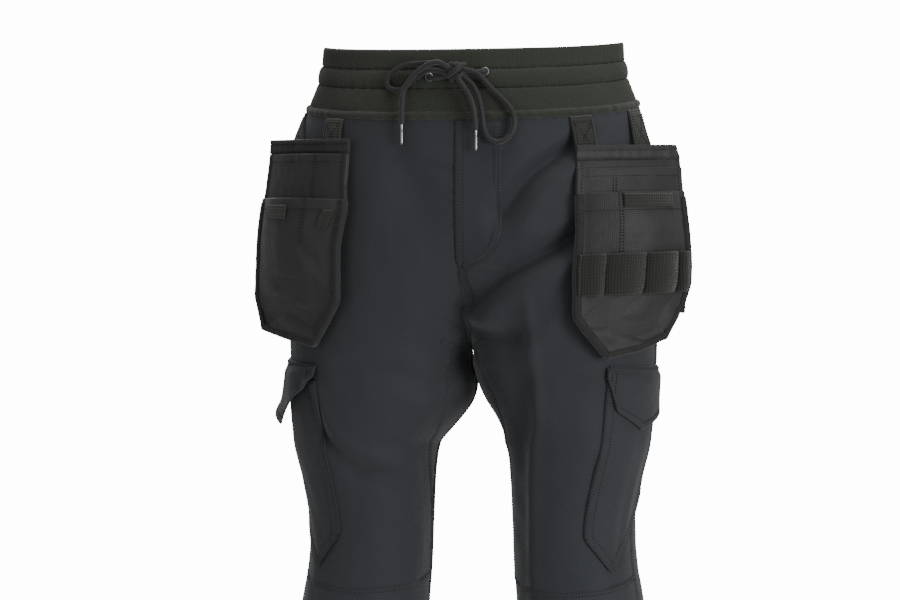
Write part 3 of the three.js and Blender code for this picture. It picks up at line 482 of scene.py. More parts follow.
RIBS_A_QUARTER = 104
RIB_RELIEF = 0.34
BAND_PROFILE = np.array([
    (0, -1), (.012, -.1), (.03, .25), (.1, .45), (.25, .2), (.27, -.2), (.285, -.9), (.3, -.1), (.32, 1),
    (.37, 2), (.43, 2.4), (.49, 1.9), (.53, 1), (.55, 0), (.565, -.8), (.58, 0), (.61, .6), (.7, .9),
    (.82, .6), (.88, .3), (.895, .1), (.91, 1.2), (.93, 2.1), (.95, 2.5), (.97, 2.3), (.985, 1.6),
    (1, .2),
])
BAND_ROWS = np.unique(np.concatenate([BAND_PROFILE[:, 0], np.linspace(.03, .88, 9)]))
BAND_INSIDE = np.array([1, .66, .33, .02])


def band_ring():
    """The band as closed sections round the waist, one every quarter of a rib."""
    stations = []
    outer = np.interp(BAND_ROWS, *BAND_PROFILE.T)
    for side, half, forwards in ((LEFT, FRONT, 1), (RIGHT, FRONT, 0), (RIGHT, BACK, 1), (LEFT, BACK, 0)):
        steps = np.arange(RIBS_A_QUARTER * 4) / (RIBS_A_QUARTER * 4)
        part = steps if forwards else 1 - steps
        turn = turn_at(half, part * half_length(half, 0.0), 0.0)
        turn = np.where(part == 1, 2, turn)[:, None]
        share = np.concatenate([BAND_ROWS, BAND_INSIDE])[None, :]
        rib = RIB_RELIEF * np.cos(np.arange(RIBS_A_QUARTER * 4) * math.pi / 2)[:, None]
        outside = np.broadcast_to(outer, (len(steps), len(outer)))
        inside = np.full((len(steps), len(BAND_INSIDE)), -float(RIB_KNIT))
        away = side * part[:, None] * 220 + (0 if half == FRONT else 300)
        z = waist_line(WAIST_TOP, half, turn) * (1 - share) + waist_line(WAIST_SEAM, half, turn) * share
        z = z - smoothstep(share, .97, 1) * (np.arange(share.size) < len(outer))
        tier = smoothstep(share, 0, .06) * (1 - smoothstep(share, .88, .9))
        drawn = waves(3, 5, 7, 16, away + 0 * share) * np.exp(-((share - .565) / .06) ** 2)
        drawn = drawn + waves(4, 5, 7, 15, away + 0 * share) * np.exp(-((share - .285) / .05) ** 2)
        slack = waves(5, 6, 24, 70, away, z * .6)
        ripple = (0.45 * drawn + 0.5 * slack * tier)[:, :len(outer)]
        rolled = 0.5 * waves(6, 4, 9, 20, away)[:, :1] * smoothstep(share, .89, .93)[:, :len(outer)]
        roll_ribs = rib * np.where(share[:, :len(outer)] > .9, 0.3, 1)
        out = np.concatenate([outside + ripple + rolled + roll_ribs, inside + rib * .6], axis=1)
        point = plain_point(half, turn, z) + outward_normal(half, turn, z) * out[..., None]
        stations.append(point * (side, 1, 1))
    return np.vstack(stations)


# Rib knit: matt spun yarn, charcoal with a trace of green. The knitted loops along each rib, 1 mm high, are
# drawn 2 mm high so that they show, as a fine bump.
rib_finish, tree, skin, place = new_material("rib-knit polyester", "#2a2e24", 0.9, sheen=0.3)
loops = add_node(tree, "ShaderNodeTexWave", {
    0: place.outputs["Object"], "Scale": 160, "Distortion": 1.5, "Detail": 2, "Detail Scale": 3},
    bands_direction="Z")
yarn = add_node(tree, "ShaderNodeTexNoise", {0: place.outputs["Object"], "Scale": 700, "Detail": 4})
mixed = add_node(tree, "ShaderNodeMath", {0: loops.outputs[1], 1: yarn.outputs[0]}, operation="ADD")
fuzz = add_node(tree, "ShaderNodeBump", {"Height": mixed.outputs[0], "Strength": 0.3, "Distance": 0.0005})
tree.links.new(fuzz.outputs[0], skin.inputs["Normal"])

band = make_piece("waistband_rib_knit", [swept(band_ring(), closed=True)], rib_finish,
                  ["waistband"], sharp=180)


# The six trouser panels, cut from a softshell: a stretch woven polyester face laminated to a knitted back,
# 1.6 mm thick. They are joined by felled seams, folded under and stitched down with two rows.
SOFTSHELL = 1.6
SEAM_GAP = 0.3
FOLD_REACH = 60
LEAN = {"height": -340, "above": 45, "below": 36, "shift": 8}
KNEE_SEAM = {"side": -511, "sag": 13, "inseam": -512}
HEM = -1018
HEM_DEPTH = 21.0
TOP_BLEND = -122
KNEE_BLEND = 100
INNER_FROM = 0.7

# The large folds, drawn as seen from the front or the back: half, depth, width, lip, and the points (x, z)
# that the fold runs through. lip is the ridge beside the trough, on the left of its direction, as a share.
FOLDS = [
    (FRONT, 14, 10, .35, ((122, -72), (98, -92), (72, -112), (46, -146))),
    (FRONT, 17, 12, .4, ((122, -166), (98, -180), (75, -191), (42, -206), (10, -228))),
    (FRONT, 3, 6, .3, ((12, -200), (40, -206))),
    (FRONT, 8, 8, .4, ((2, -258), (24, -264), (58, -266))),
    (FRONT, -4, 13, 0, ((102, -248), (84, -268), (64, -292))),
    (FRONT, -3.5, 7, 0, ((70, -236), (76, -313), (72, -407), (70, -540))),
    (FRONT, 6, 15, 0, ((52, -250), (54, -330), (50, -420), (50, -530))),
    (FRONT, 2.5, 11, .2, ((44, -304), (106, -312))),
    (FRONT, 4, 17, .2, ((-60, -78), (-50, -108), (-40, -140))),
    (FRONT, 1.8, 6, .3, ((-24, -101), (-4, -104))),
    (FRONT, 5.5, 8, .4, ((-156, -322), (-143, -362), (-112, -396), (-66, -412))),
    (FRONT, 3, 10, .2, ((-118, -299), (-60, -306), (-30, -324))),
    (FRONT, 7, 8, .3, ((0, -276), (-13, -302), (-24, -316))),
    (FRONT, 6, 8, .3, ((-10, -324), (-28, -346), (-38, -366))),
    (BACK, 9, 13, .3, ((18, -238), (64, -244), (122, -264))),
    (BACK, 9, 13, .3, ((-18, -238), (-70, -242), (-122, -260))),
    (BACK, 5, 10, .3, ((14, -286), (46, -298), (86, -320))),
    (BACK, 5, 10, .3, ((-14, -286), (-52, -302), (-94, -322))),
    (BACK, 6, 9, .4, ((58, -526), (104, -532), (162, -538))),
    (BACK, 6, 9, .4, ((-58, -534), (-112, -530), (-162, -524))),
    (BACK, 5, 9, .4, ((60, -558), (104, -562), (148, -568))),
    (BACK, 5, 9, .4, ((-60, -564), (-106, -558), (-152, -550))),
    (FRONT, 4, 10, .3, ((68, -904), (110, -910), (152, -920))),
    (FRONT, 4, 10, .3, ((-70, -916), (-112, -910), (-152, -900))),
    (BACK, 4, 10, .3, ((68, -945), (112, -940), (158, -933))),
    (BACK, 4, 10, .3, ((-70, -935), (-114, -940), (-158, -947))),
]


def fold_depth(half, x, z):
    """How far the folds move the cloth inwards at points seen at (x, z)."""
    total = np.zeros(np.shape(x))
    for its_half, depth, width, lip, line in FOLDS:
        if its_half != half:
            continue
        line = smooth_path([(*p, 0) for p in line], 4)[:, :2]
        start, step, run = line[:-1], np.diff(line, axis=0), run_along(line)
        length = np.linalg.norm(step, axis=1)
        middle = line.mean(0)
        near = np.maximum(np.abs(x - middle[0]), np.abs(z - middle[1])) < run[-1] + FOLD_REACH
        px, pz = x[near][:, None], z[near][:, None]
        heading = step / length[:, None]
        along = (px - start[:, 0]) * heading[:, 0] + (pz - start[:, 1]) * heading[:, 1]
        beside = (pz - start[:, 1]) * heading[:, 0] - (px - start[:, 0]) * heading[:, 1]
        kept = np.clip(along, 0, length)
        distance = np.hypot(along - kept, beside)
        nearest = distance.argmin(1)[:, None]
        along = np.take_along_axis(along, nearest, 1)[:, 0]
        beside = np.take_along_axis(beside, nearest, 1)[:, 0]
        kept = np.take_along_axis(kept, nearest, 1)[:, 0]
        part = (run[nearest[:, 0]] + kept) / run[-1]
        past = np.abs(along - kept)
        fade = np.exp(-(past / (1.4 * width)) ** 2) * (0.55 + 0.45 * np.sin(math.pi * (0.12 + 0.76 * part)))
        across = beside / (width * (0.8 + 0.4 * part))
        trough = np.exp(-across ** 2) - lip * np.exp(-((across - 1.9) / 0.9) ** 2)
        total[near] += depth * fade * trough
    return total


def cloth_point(side, half, turn, z, out=0.0):
    """The cloth's outer face, folds and all, moved out by a distance, on either side of the body."""
    turn, z, out = (np.asarray(given, float) for given in np.broadcast_arrays(turn, z, out))
    point = plain_point(half, turn, z)
    normal = outward_normal(half, turn, z)
    near_waist = smoothstep(-z, -WAIST_SEAM["side"], 90)
    turned = np.minimum(1, 1.6 * np.abs(normal[..., 1]))
    moved = out - fold_depth(half, side * point[..., 0], z) * near_waist * turned
    point = point + normal * moved[..., None]
    x, y, _ = np.moveaxis(point, -1, 0)
    y = np.where(turn > 1, half * np.maximum(half * y, SEAM_GAP / 2), y)
    # Between the thighs the cloth of both legs leans a little to the wearer's left.
    away = z - LEAN["height"]
    leaning = LEAN["shift"] * np.maximum(0, 1 - (away / np.where(away > 0, LEAN["above"], LEAN["below"])) ** 2)
    x = side * np.maximum(x, SEAM_GAP / 2) + leaning * smoothstep(turn, 0.9, 1.7)
    return np.stack([x, y, z], axis=-1)


def cloth_sheet(outer, inner, uv):
    """A closed sheet of cloth from the grids of its two faces."""
    rows, columns = outer.shape[:2]
    points = np.concatenate([outer.reshape(-1, 3), inner.reshape(-1, 3)])
    a = np.arange(rows * columns).reshape(rows, columns)
    b = a + rows * columns

    def quads(*corners):
        return np.stack(corners, axis=-1).reshape(-1, 4)

    faces = np.vstack([
        quads(a[:-1, :-1], a[1:, :-1], a[1:, 1:], a[:-1, 1:]),
        quads(b[:-1, :-1], b[:-1, 1:], b[1:, 1:], b[1:, :-1]),
        quads(a[:-1, 0], b[:-1, 0], b[1:, 0], a[1:, 0]),
        quads(a[:-1, -1], a[1:, -1], b[1:, -1], b[:-1, -1]),
        quads(a[0, :-1], a[0, 1:], b[0, 1:], b[0, :-1]),
        quads(a[-1, :-1], b[-1, :-1], b[-1, 1:], a[-1, 1:]),
    ])
    return outward(points, faces.tolist()), np.vstack([uv.reshape(-1, 2)] * 2) * MM


def knee_line(share):
    return (KNEE_SEAM["side"] * (1 - share) + KNEE_SEAM["inseam"] * share
            - KNEE_SEAM["sag"] * 4 * share * (1 - share))


def row_height(half, nominal, share, knee_gap):
    """Height of a panel's row: bent to the waist seam near it, and to the knee seam where there is one."""
    side = float(WAIST_SEAM["side"])
    turn = turn_at(half, share * half_length(half, side), side)
    top = waist_line(WAIST_SEAM, half, turn) - SEAM_GAP
    bent = top + (TOP_BLEND - top) * (nominal - side) / (TOP_BLEND - side)
    near = np.maximum(0, 1 - np.abs(nominal - KNEE_SEAM["side"]) / KNEE_BLEND)
    knee = 0 if knee_gap is None else near * (knee_line(share) - KNEE_SEAM["side"] + knee_gap)
    return np.where(nominal > TOP_BLEND, bent, nominal + knee)


def across_panel(half, share, z):
    """A share of the way across a panel, as a distance from the outermost cloth."""
    seam = -half * level_at(SEAM, z) + SEAM_GAP / 2
    steady = from_table(arc_lengths, half, z)[..., ARC_STEPS // 2] + level_at(CENTRE, z)
    outer = seam + (steady - seam) * np.minimum(share, INNER_FROM)
    part = np.maximum(0, (share - INNER_FROM) / (1 - INNER_FROM))
    return outer + (half_length(half, z) - outer) * part


def panel(side, half, nominals, columns, knee_gap, seed):
    """A panel's closed sheet, with slow unevenness in the cloth and a soft draw along its seams."""
    share, nominal = np.meshgrid(np.linspace(0, 1, columns + 1), nominals)
    z = row_height(half, nominal, share, knee_gap)
    distance = across_panel(half, share, z)
    turn = np.where(share == 1, 2, turn_at(half, distance, z))
    place = plain_point(half, turn, z)
    from_side = distance - across_panel(half, 0 * share, z)
    from_inseam = half_length(half, z) - distance
    slack = waves(seed, 9, 40, 130, distance, z * 0.55) * 0.9
    slack = slack + waves(seed + 40, 8, 16, 40, distance, z * .7) * 0.28
    inside = smoothstep(from_side, 4, 40) * smoothstep(from_inseam, 4, 40)
    draw = waves(seed + 1, 4, 11, 24, z) * np.exp(-(from_side / 13) ** 2)
    draw = draw + waves(seed + 2, 4, 11, 24, z) * np.exp(-(from_inseam / 13) ** 2)
    edge = smoothstep(from_side, 0, 2.2) * smoothstep(from_inseam, 0, 2.2) - 1
    free = inside * smoothstep(-z, 40, 110) * np.minimum(1, np.abs(place[..., 0]) / 20)
    out = slack * free + 0.35 * draw + 0.6 * edge
    grids = [cloth_point(side, half, turn, z, out - depth) for depth in (0, SOFTSHELL)]
    return cloth_sheet(*grids, np.stack([distance, z], axis=-1))


def spaced(start, end, step):
    return np.linspace(start, end, round(abs(end - start) / step) + 1)


# Softshell: a tight plain weave of fine matt filament, cool charcoal, with a faint grain. The threads are
# 0.2 mm apart, too fine for the picture, so the weave is drawn 1.8 mm apart and very low.
softshell, tree, skin, place = new_material("woven softshell", "#24272c", 0.78, sheen=0.2)
warp, weft = (add_node(tree, "ShaderNodeTexWave", {
    0: place.outputs["UV"], "Scale": 175, "Distortion": 0.6}, bands_direction=way) for way in "XY")
weave = add_node(tree, "ShaderNodeMath", {0: warp.outputs[1], 1: weft.outputs[1]}, operation="ADD")
grain = add_node(tree, "ShaderNodeTexNoise", {0: place.outputs["Object"], "Scale": 420, "Detail": 4})
height = add_node(tree, "ShaderNodeMath", {0: weave.outputs[0], 1: grain.outputs[0]}, operation="ADD")
fuzz = add_node(tree, "ShaderNodeBump", {"Height": height.outputs[0], "Strength": 0.16, "Distance": 0.0006})
tree.links.new(fuzz.outputs[0], skin.inputs["Normal"])
clouds = add_node(tree, "ShaderNodeTexNoise", {0: place.outputs["Object"], "Scale": 16, "Detail": 3})
shade = add_node(tree, "ShaderNodeValToRGB", {0: clouds.outputs[0]})
shade.color_ramp.elements[0].color = linear("#202328")
shade.color_ramp.elements[1].color = linear("#292d33")
tree.links.new(shade.outputs[0], skin.inputs["Base Color"])

# A felled seam: the folded edges are stitched down flat with two rows of thread.
SEAM_STEP = 0.75
SEAM_INWARD = 2.6
SEAM_WIDTH = 6.5
SEAM_HEIGHT = 0.55
SEAM_ROWS = (-0.62, 0.62)
WIDE_ROWS = (-0.76, 0.76)
STITCH_PITCH = 3
PUCKER = 0.42
INSEAM_DOWN = (272, 302, 327, 345, 363, 399, 430, 460)
INSEAM_FORWARD = (50, 61, 65, 55, 40, 24, 10, 3.6)


def on_cloth(side, half, distance, z, spacing=SEAM_STEP):
    """Even points along a line on the cloth, given by a few distances and heights, and the ways out."""
    given = np.linspace(0, 1, len(distance))
    stops = np.linspace(0, 1, 240)

    def points(at):
        d, height = np.interp(at, given, distance), np.interp(at, given, z)
        turn = turn_at(half, d, height)
        return cloth_point(side, half, turn, height), outward_normal(half, turn, height) * (side, 1, 1)

    run = run_along(points(stops)[0])
    return points(np.interp(np.linspace(0, run[-1], round(run[-1] / spacing) + 1), run, stops))


stitch_rows = []


def felled(line, ways_out, width, height, seed, rows=SEAM_ROWS, lift=0.0):
    """A folded and stitched-down seam: a low raised strip, drawn into small puckers by its stitches."""
    along = unit(np.gradient(line, axis=0))
    across = unit(np.cross(ways_out, along))
    run = run_along(line)
    t = np.array([-1, -.8, -.5, 0, .5, .8, 1, .6, -.6])
    crown = np.array([-.15, .55, .8, 1, .8, .55, -.15, -1, -1])
    drawn = np.cos(run / STITCH_PITCH * 2 * math.pi + waves(seed, 3, 15, 40, run))
    drawn = drawn * (0.7 + 0.3 * waves(seed + 1, 3, 20, 50, run))
    pull = np.where(np.abs(t) < 0.85, 1 - t ** 2 * 0.8, 0) * (np.arange(9) < 7)
    out = lift + height * crown[None, :] + PUCKER * drawn[:, None] * pull[None, :]
    sideways = across[:, None] * (t * width / 2)[None, :, None]
    for row in rows:
        stitch_rows.append((line + across * row * width / 2 + ways_out * (lift + height * 0.72), ways_out))
    return swept(line[:, None] + sideways + ways_out[:, None] * out[..., None])


def panel_seams(side, part, half, seed):
    """The felled seams on a panel: side seam, inseam, centre front or back, knee and hem."""
    seams = []

    def sew(distance, z, later=0, width=SEAM_WIDTH, height=SEAM_HEIGHT, spacing=SEAM_STEP, rows=SEAM_ROWS):
        seams.append(felled(*on_cloth(side, half, distance, z, spacing), width, height, seed + later, rows))

    if part == "front_panel":
        z = np.linspace(-42, -508, 60)
        sew(across_panel(half, 0, z) + SEAM_INWARD, z)
        z = np.linspace(-272, -506, 70)
        sew(half_length(half, z) - np.interp(-z, INSEAM_DOWN, INSEAM_FORWARD), z, 2)
        if side == LEFT:
            z = np.linspace(-196, CROTCH + 1, 30)
            sew(half_length(half, z) - 3.9, z, 4, width=9.5, height=0.5, rows=WIDE_ROWS)
        share = np.linspace(0.005, 0.995, 60)
        z = knee_line(share) + SEAM_GAP / 2 + 2
        sew(across_panel(half, share, z), z, 6, width=5.6)
    if part == "shin_panel":
        z = np.linspace(-513, HEM + 1, 90)
        sew(across_panel(half, 0, z) + SEAM_INWARD, z)
    if part == "back_panel":
        z = np.linspace(CROTCH - 1, HEM + 1, 130)
        sew(half_length(half, z) - SEAM_INWARD, z, 2, spacing=1.3)
        if side == LEFT:
            z = np.linspace(-27, CROTCH + 1, 60)
            sew(half_length(half, z) - 2.9, z, width=7.5, height=0.7)
    if part != "front_panel":
        share = np.linspace(0.02, 0.98, 60)
        z = np.full(60, HEM + HEM_DEPTH)
        sew(across_panel(half, share, z), z, 8, width=3.2, height=0.3, rows=(0,))
    return seams


# The two rows that close the drawcord channel.
for channel_line in (.287, .562):
    for side in (LEFT, RIGHT):
        for half in (FRONT, BACK):
            turn = turn_at(half, np.linspace(0, 1, 200) * half_length(half, 0.0), 0.0)
            top, foot = (waist_line(line, half, turn) for line in (WAIST_TOP, WAIST_SEAM))
            z = top * (1 - channel_line) + foot * channel_line
            ways_out = outward_normal(half, turn, z)
            stitch_rows.append((
                (plain_point(half, turn, z) - 0.2 * ways_out) * (side, 1, 1), ways_out * (side, 1, 1)))

panels = {}
for side, word in ((LEFT, "left"), (RIGHT, "right")):
    for part, half, top, foot, columns, gap, step, flat, area in (
        ("front_panel", FRONT, WAIST_SEAM["side"], KNEE_SEAM["side"], 78, SEAM_GAP / 2, 3.0,
         (0.285, 0.5), 0.12),
        ("back_panel", BACK, WAIST_SEAM["side"], HEM, 62, None, 4.8, (0.33, 1.0), 0.245),
        ("shin_panel", FRONT, KNEE_SEAM["side"], HEM, 62, -SEAM_GAP / 2, 4.5, (0.2, 0.52), 0.09),
    ):
        seed = 11 + 7 * len(panels)
        sheet = panel(side, half, spaced(top, foot, step), columns, gap, seed)
        panels[part, word] = make_piece(
            f"{part}_{word}_softshell", [sheet, *panel_seams(side, part, half, seed + 100)], softshell,
            [f"{part}_{word}"])


# The fly facing: a second layer of softshell on the wearer's left front, sewn flat with two rows that run
# down, curve to the centre at its foot and meet the centre-front seam. A short single row slants above it.
FLY = {"width": 45, "foot": -197, "curve_from": -160, "lift": 0.4, "thickness": 1.2}


def fly_width(z):
    down = np.clip((FLY["curve_from"] - z) / (FLY["curve_from"] - FLY["foot"]), 0, 1)
    return 4 + (FLY["width"] - 4) * np.sqrt(1 - down ** 2.2)


def edged(width, step, rim=(0, 0.25, 0.7, 1.4, 2.4)):
    """Shares across a width in mm, closer together at both edges, where the cloth is rolled over."""
    inside = np.linspace(rim[-1], width - rim[-1], max(2, round((width - 2 * rim[-1]) / step)))
    return np.concatenate([rim[:-1], inside, width - np.array(rim[:-1][::-1])]) / width


def patch(place, across, down, lowest, thickness, relief, rounding=1.3):
    """A piece of cloth sewn on: place(share, part, out) gives its points. Its edges are rolled under."""
    share, part = np.meshgrid(across, down)
    under = place(share, part, np.full(share.shape, float(lowest)))
    steps_x = np.linalg.norm(np.diff(under, axis=1), axis=-1)
    steps_y = np.linalg.norm(np.diff(under, axis=0), axis=-1)
    x = np.concatenate([np.zeros((len(down), 1)), np.cumsum(steps_x, axis=1)], axis=1)
    y = np.concatenate([np.zeros((1, len(across))), np.cumsum(steps_y, axis=0)], axis=0)
    edge = np.minimum(np.minimum(x, x[:, -1:] - x), np.minimum(y, y[-1:] - y))
    rolled = np.sqrt(1 - (1 - np.clip(edge / rounding, 0, 1)) ** 2)
    raised = relief(x, y, edge, share, part) * np.clip(edge / rounding, 0, 1)
    over = place(share, part, lowest + thickness * (0.25 + 0.75 * rolled) + raised)
    return cloth_sheet(over, under, np.stack([x, y], axis=-1))


def fly_place(share, part, out):
    top = waist_line(WAIST_SEAM, FRONT, 1) - 4
    z = top + (FLY["foot"] - top) * (1 - (1 - part) ** 1.5)
    distance = half_length(FRONT, z) - (0.3 + (fly_width(z) - 0.3) * share)
    return cloth_point(LEFT, FRONT, turn_at(FRONT, distance, z), z, out)


def fly_relief(x, y, edge, share, part):
    return 0.25 * waves(71, 5, 12, 40, x, y * 0.6)


z = np.concatenate([np.linspace(-62, -160, 20), -160 - 36.5 * np.sin(np.linspace(0.1, math.pi / 2, 24))])
distance = half_length(FRONT, z) - np.maximum(fly_width(z) - 4.5, 2)
fly_seam = felled(*on_cloth(LEFT, FRONT, distance, z), 8, 0.35, 73, lift=1.5)
z = np.linspace(-56, -194, 60)
front_line = on_cloth(LEFT, FRONT, half_length(FRONT, z) - 3.9, z)
front_seam = felled(*front_line, 9.5, 0.35, 75, WIDE_ROWS, lift=1.3)
fly = make_piece(
    "fly_facing_softshell",
    [patch(fly_place, edged(45, 1.6), np.linspace(0, 1, 80), FLY["lift"], FLY["thickness"], fly_relief, 3),
     fly_seam, front_seam],
    softshell, ["fly_facing"])
z = np.array([-149, -152, -156, -161, -166, -170])
stitch_rows.append(on_cloth(LEFT, FRONT, half_length(FRONT, z) - np.array([43, 36, 27, 18, 11, 8]), z))


# The cargo pockets: patches of softshell with a pointed foot, turned in and sewn down with two rows, and
# pointed flaps with a turned hem, sewn down along a top band. The right one's flap stands off the thigh.
CARGO = {"near": 100, "far": -5, "mouth": -312, "thickness": 1.4, "lift": 0.8, "puff": 3}
CARGO_FOOT = np.array([(0, -463), (.29, -502), (.62, -461), (1, -425)])
FLAP = {"near": 102, "far": -4, "top": -297, "sewn": 0.5, "thickness": 1.6}
FLAPS = {
    "left": (LEFT, 3, 0, np.array([(0, -307), (.13, -341), (.45, -360), (.85, -348), (1, -345)])),
    "right": (RIGHT, 18, 9, np.array([(0, -308), (.25, -328), (.5, -358), (.8, -348), (1, -342)])),
}


def cargo_distance(share):
    return CARGO["near"] + (CARGO["far"] - CARGO["near"]) * share


def cargo_z(share, part):
    return CARGO["mouth"] + (np.interp(share, *CARGO_FOOT.T) - CARGO["mouth"]) * part


def cargo_puff(share, part):
    return CARGO["puff"] * np.sin(math.pi * share) * np.sin(math.pi * (0.15 + 0.85 * part))


def cargo_lines(side, share, part):
    """Even points on a line over a cargo pocket, and the ways out there."""
    line, ways_out = on_cloth(side, FRONT, cargo_distance(share), cargo_z(share, part))
    at = np.linspace(0, 1, len(line))
    given = np.linspace(0, 1, len(share))
    puff = cargo_puff(np.interp(at, given, share), np.interp(at, given, part))
    return line + ways_out * (CARGO["lift"] + CARGO["thickness"] + puff)[:, None], ways_out


for word, (side, stand_off, rise, flap_foot) in FLAPS.items():
    seed = 81 if word == "left" else 91

    def pocket_place(share, part, out):
        z = cargo_z(share, part)
        turn = turn_at(FRONT, cargo_distance(share), z)
        return cloth_point(side, FRONT, turn, z, out + cargo_puff(share, part))

    def pocket_relief(x, y, edge, share, part):
        creases = waves(seed, 6, 22, 60, x, y * 0.5) * smoothstep(edge, 4, 20)
        return 0.55 * creases + 0.3 * waves(seed + 1, 4, 8, 18, y) * np.exp(-(edge / 8) ** 2)

    def flap_place(share, part, out):
        top = FLAP["top"] + rise * share
        z = top + (np.interp(share, *flap_foot.T) - top) * part
        distance = FLAP["near"] + (FLAP["far"] - FLAP["near"]) * share
        pocket_face = CARGO["lift"] + CARGO["thickness"] + CARGO["puff"] * np.sin(math.pi * share)
        over_mouth = pocket_face * smoothstep(part, 0, 0.27)
        hanging = stand_off * part ** 2 * (0.25 + 0.75 * share)
        return cloth_point(side, FRONT, turn_at(FRONT, distance, z), z, out + over_mouth + hanging)

    def flap_relief(x, y, edge, share, part):
        hem = 0.9 * (1 - smoothstep(edge, 5.2, 6.2)) * smoothstep(part, 0.1, 0.2)
        return hem + 0.3 * waves(seed + 2, 5, 14, 40, x, y) * smoothstep(edge, 2, 12)

    inset = 5.4 / 105
    edges = [(np.full(40, inset), np.linspace(0.02, 0.975, 40))]
    edges.append((np.linspace(inset, 0.29, 20), np.full(20, 0.972)))
    edges.append((np.linspace(0.29, 0.96, 30), np.full(30, 0.968)))
    seams = []
    for number, line in enumerate(edges):
        seams.append(felled(*cargo_lines(side, *line), 9.6, 0.4, seed + 3 + number, WIDE_ROWS))
    fold = np.linspace(0.05, 0.97, 30)
    fold_line = cargo_lines(side, 0.72 + 0.06 * np.sin(fold * 3), fold)
    seams.append(felled(*fold_line, 3.4, 0.35, seed + 7, rows=(0,)))
    pocket = make_piece(
        f"cargo_pocket_{word}_softshell",
        [patch(pocket_place, edged(108, 2.3), edged(170, 2.5), CARGO["lift"], CARGO["thickness"],
               pocket_relief, 5), *seams],
        softshell, [f"cargo_pocket_{word}"])

    def flap_line(share, part, out):
        line = flap_place(share, part, np.full(len(share), float(out)))
        middle = FLAP["top"] - 25
        distance = FLAP["near"] + (FLAP["far"] - FLAP["near"]) * share
        return line, outward_normal(FRONT, turn_at(FRONT, distance, middle), middle) * (side, 1, 1)

    over = FLAP["sewn"] + FLAP["thickness"]
    band_line = flap_line(np.linspace(0.03, 0.97, 140), np.full(140, 0.07), over)
    flap = make_piece(
        f"cargo_flap_{word}_softshell",
        [patch(flap_place, edged(106, 1.8), edged(55, 1.5), FLAP["sewn"], FLAP["thickness"], flap_relief),
         felled(*band_line, 5, 0.35, seed + 8)],
        softshell, [f"cargo_flap_{word}"])
    for inward in (0.045, 0.09):
        share = np.concatenate([
            np.full(20, inward), np.linspace(inward, 0.5, 60), np.linspace(0.5, 1 - inward, 60)])
        part = np.concatenate([np.linspace(0.2, 0.93 - inward, 20), np.full(120, 0.985 - 1.1 * inward)])
        stitch_rows.append(flap_line(share, part, over + 0.55))


# The holster pockets, left and right: stiff woven polyester in three layers, a back, an inner pocket and a
# pouch, with a bound head band along the top and tape folded round the raw edges and stitched twice.
POCKET_CLOTH = 1.3
LAYER = 2.1
HANG = {"angle": math.radians(33), "tilt": 0.04, "bend": 9, "hip": 11, "hip_at": 110}
HEADBAND = {"height": 13}
HEADBAND_SECTION = np.array([
    (13, -.3), (9, -.5), (4, -.5), (1, -.5), (-.6, .2), (-.9, 1.4), (-.4, 2.6), (1, 3.3), (2.6, 3.2),
    (3.6, 2.6), (5, 2.7), (9, 2.9), (12.6, 2.8), (13.7, 2.2), (13.8, 1.5), (13.1, 1.4)])
TAPE_FRONT = ((6.5, .15), (6.3, .9), (4.6, 1.25), (2.6, 1.3), (.9, 1.1), (-.3, .5), (-.9, -.8))
TAPE_BEHIND = (
    (-.9, .6), (-.3, -.7), (.9, -1.2), (3, -1.3), (6.3, -1.2), (6.5, -.5), (.3, -.35), (.3, 5.4))
HOLSTERS = {
    "left": {
        "side": LEFT, "corner": (117, -105, -81), "seed": 120,
        "inner_top": 22, "pouch_top": 46, "pouch_hem": 0, "hem_row": 18, "tape": 0.42,
        "outline": np.array([
            (0, 0, 116), (16, 0, 122), (41, -3, 122), (83, -5, 125), (121, -9, 127), (139, -9, 126),
            (159, -9, 118), (202, -9, 116)]),
        "foot": np.array([(0, 167), (.08, 181), (.28, 208), (.59, 202), (.84, 191), (1, 159)]),
    },
    "right": {
        "side": RIGHT, "corner": (106, -114, -72.6), "seed": 150,
        "inner_top": 14, "pouch_top": 59, "pouch_hem": 12, "hem_row": 11, "tape": 0.4,
        "outline": np.array([
            (0, 0, 121), (45, 0, 124), (69, -4, 126), (109, 3, 129), (157, 3, 132), (207, 3, 132)]),
        "foot": np.array([(0, 160), (.1, 179), (.26, 206), (.6, 200), (.9, 193), (1, 160)]),
    },
}


def holster_point(holster, u, v, w):
    """A point of a holster: u outwards along its top edge, v down, w out from its back, in mm."""
    out = w - HANG["bend"] * (u / 114) ** 2 + HANG["hip"] * smoothstep(v, 0, HANG["hip_at"])
    cos, sin = math.cos(HANG["angle"]), math.sin(HANG["angle"])
    x, y, z = holster["corner"]
    return np.stack(np.broadcast_arrays(
        holster["side"] * (x + u * cos + out * sin),
        y + u * sin - out * cos,
        z + HANG["tilt"] * u - v), axis=-1)


def holster_out(holster):
    """The way out from a holster's back."""
    return np.array((holster["side"] * math.sin(HANG["angle"]), -math.cos(HANG["angle"]), 0))


def on_outline(holster, share, v):
    inner, outer = (np.interp(v, holster["outline"][:, 0], holster["outline"][:, k]) for k in (1, 2))
    return inner + (outer - inner) * share


def bulge(holster, share, v, top, amount):
    foot = np.interp(share, *holster["foot"].T)
    down = np.clip((v - top) / (foot - 14 - top), 0, 1)
    across = np.clip((share - 0.06) / 0.88, 0, 1)
    return amount * np.sin(math.pi * across) ** 0.8 * (1 - down ** 2.5)


def back_face(holster, share, v):
    return 0 * share


def inner_face(holster, share, v):
    return LAYER + bulge(holster, share, v, holster["inner_top"], 8)


def pouch_face(holster, share, v):
    return inner_face(holster, share, v) + LAYER + bulge(holster, share, v, holster["pouch_top"], 11)


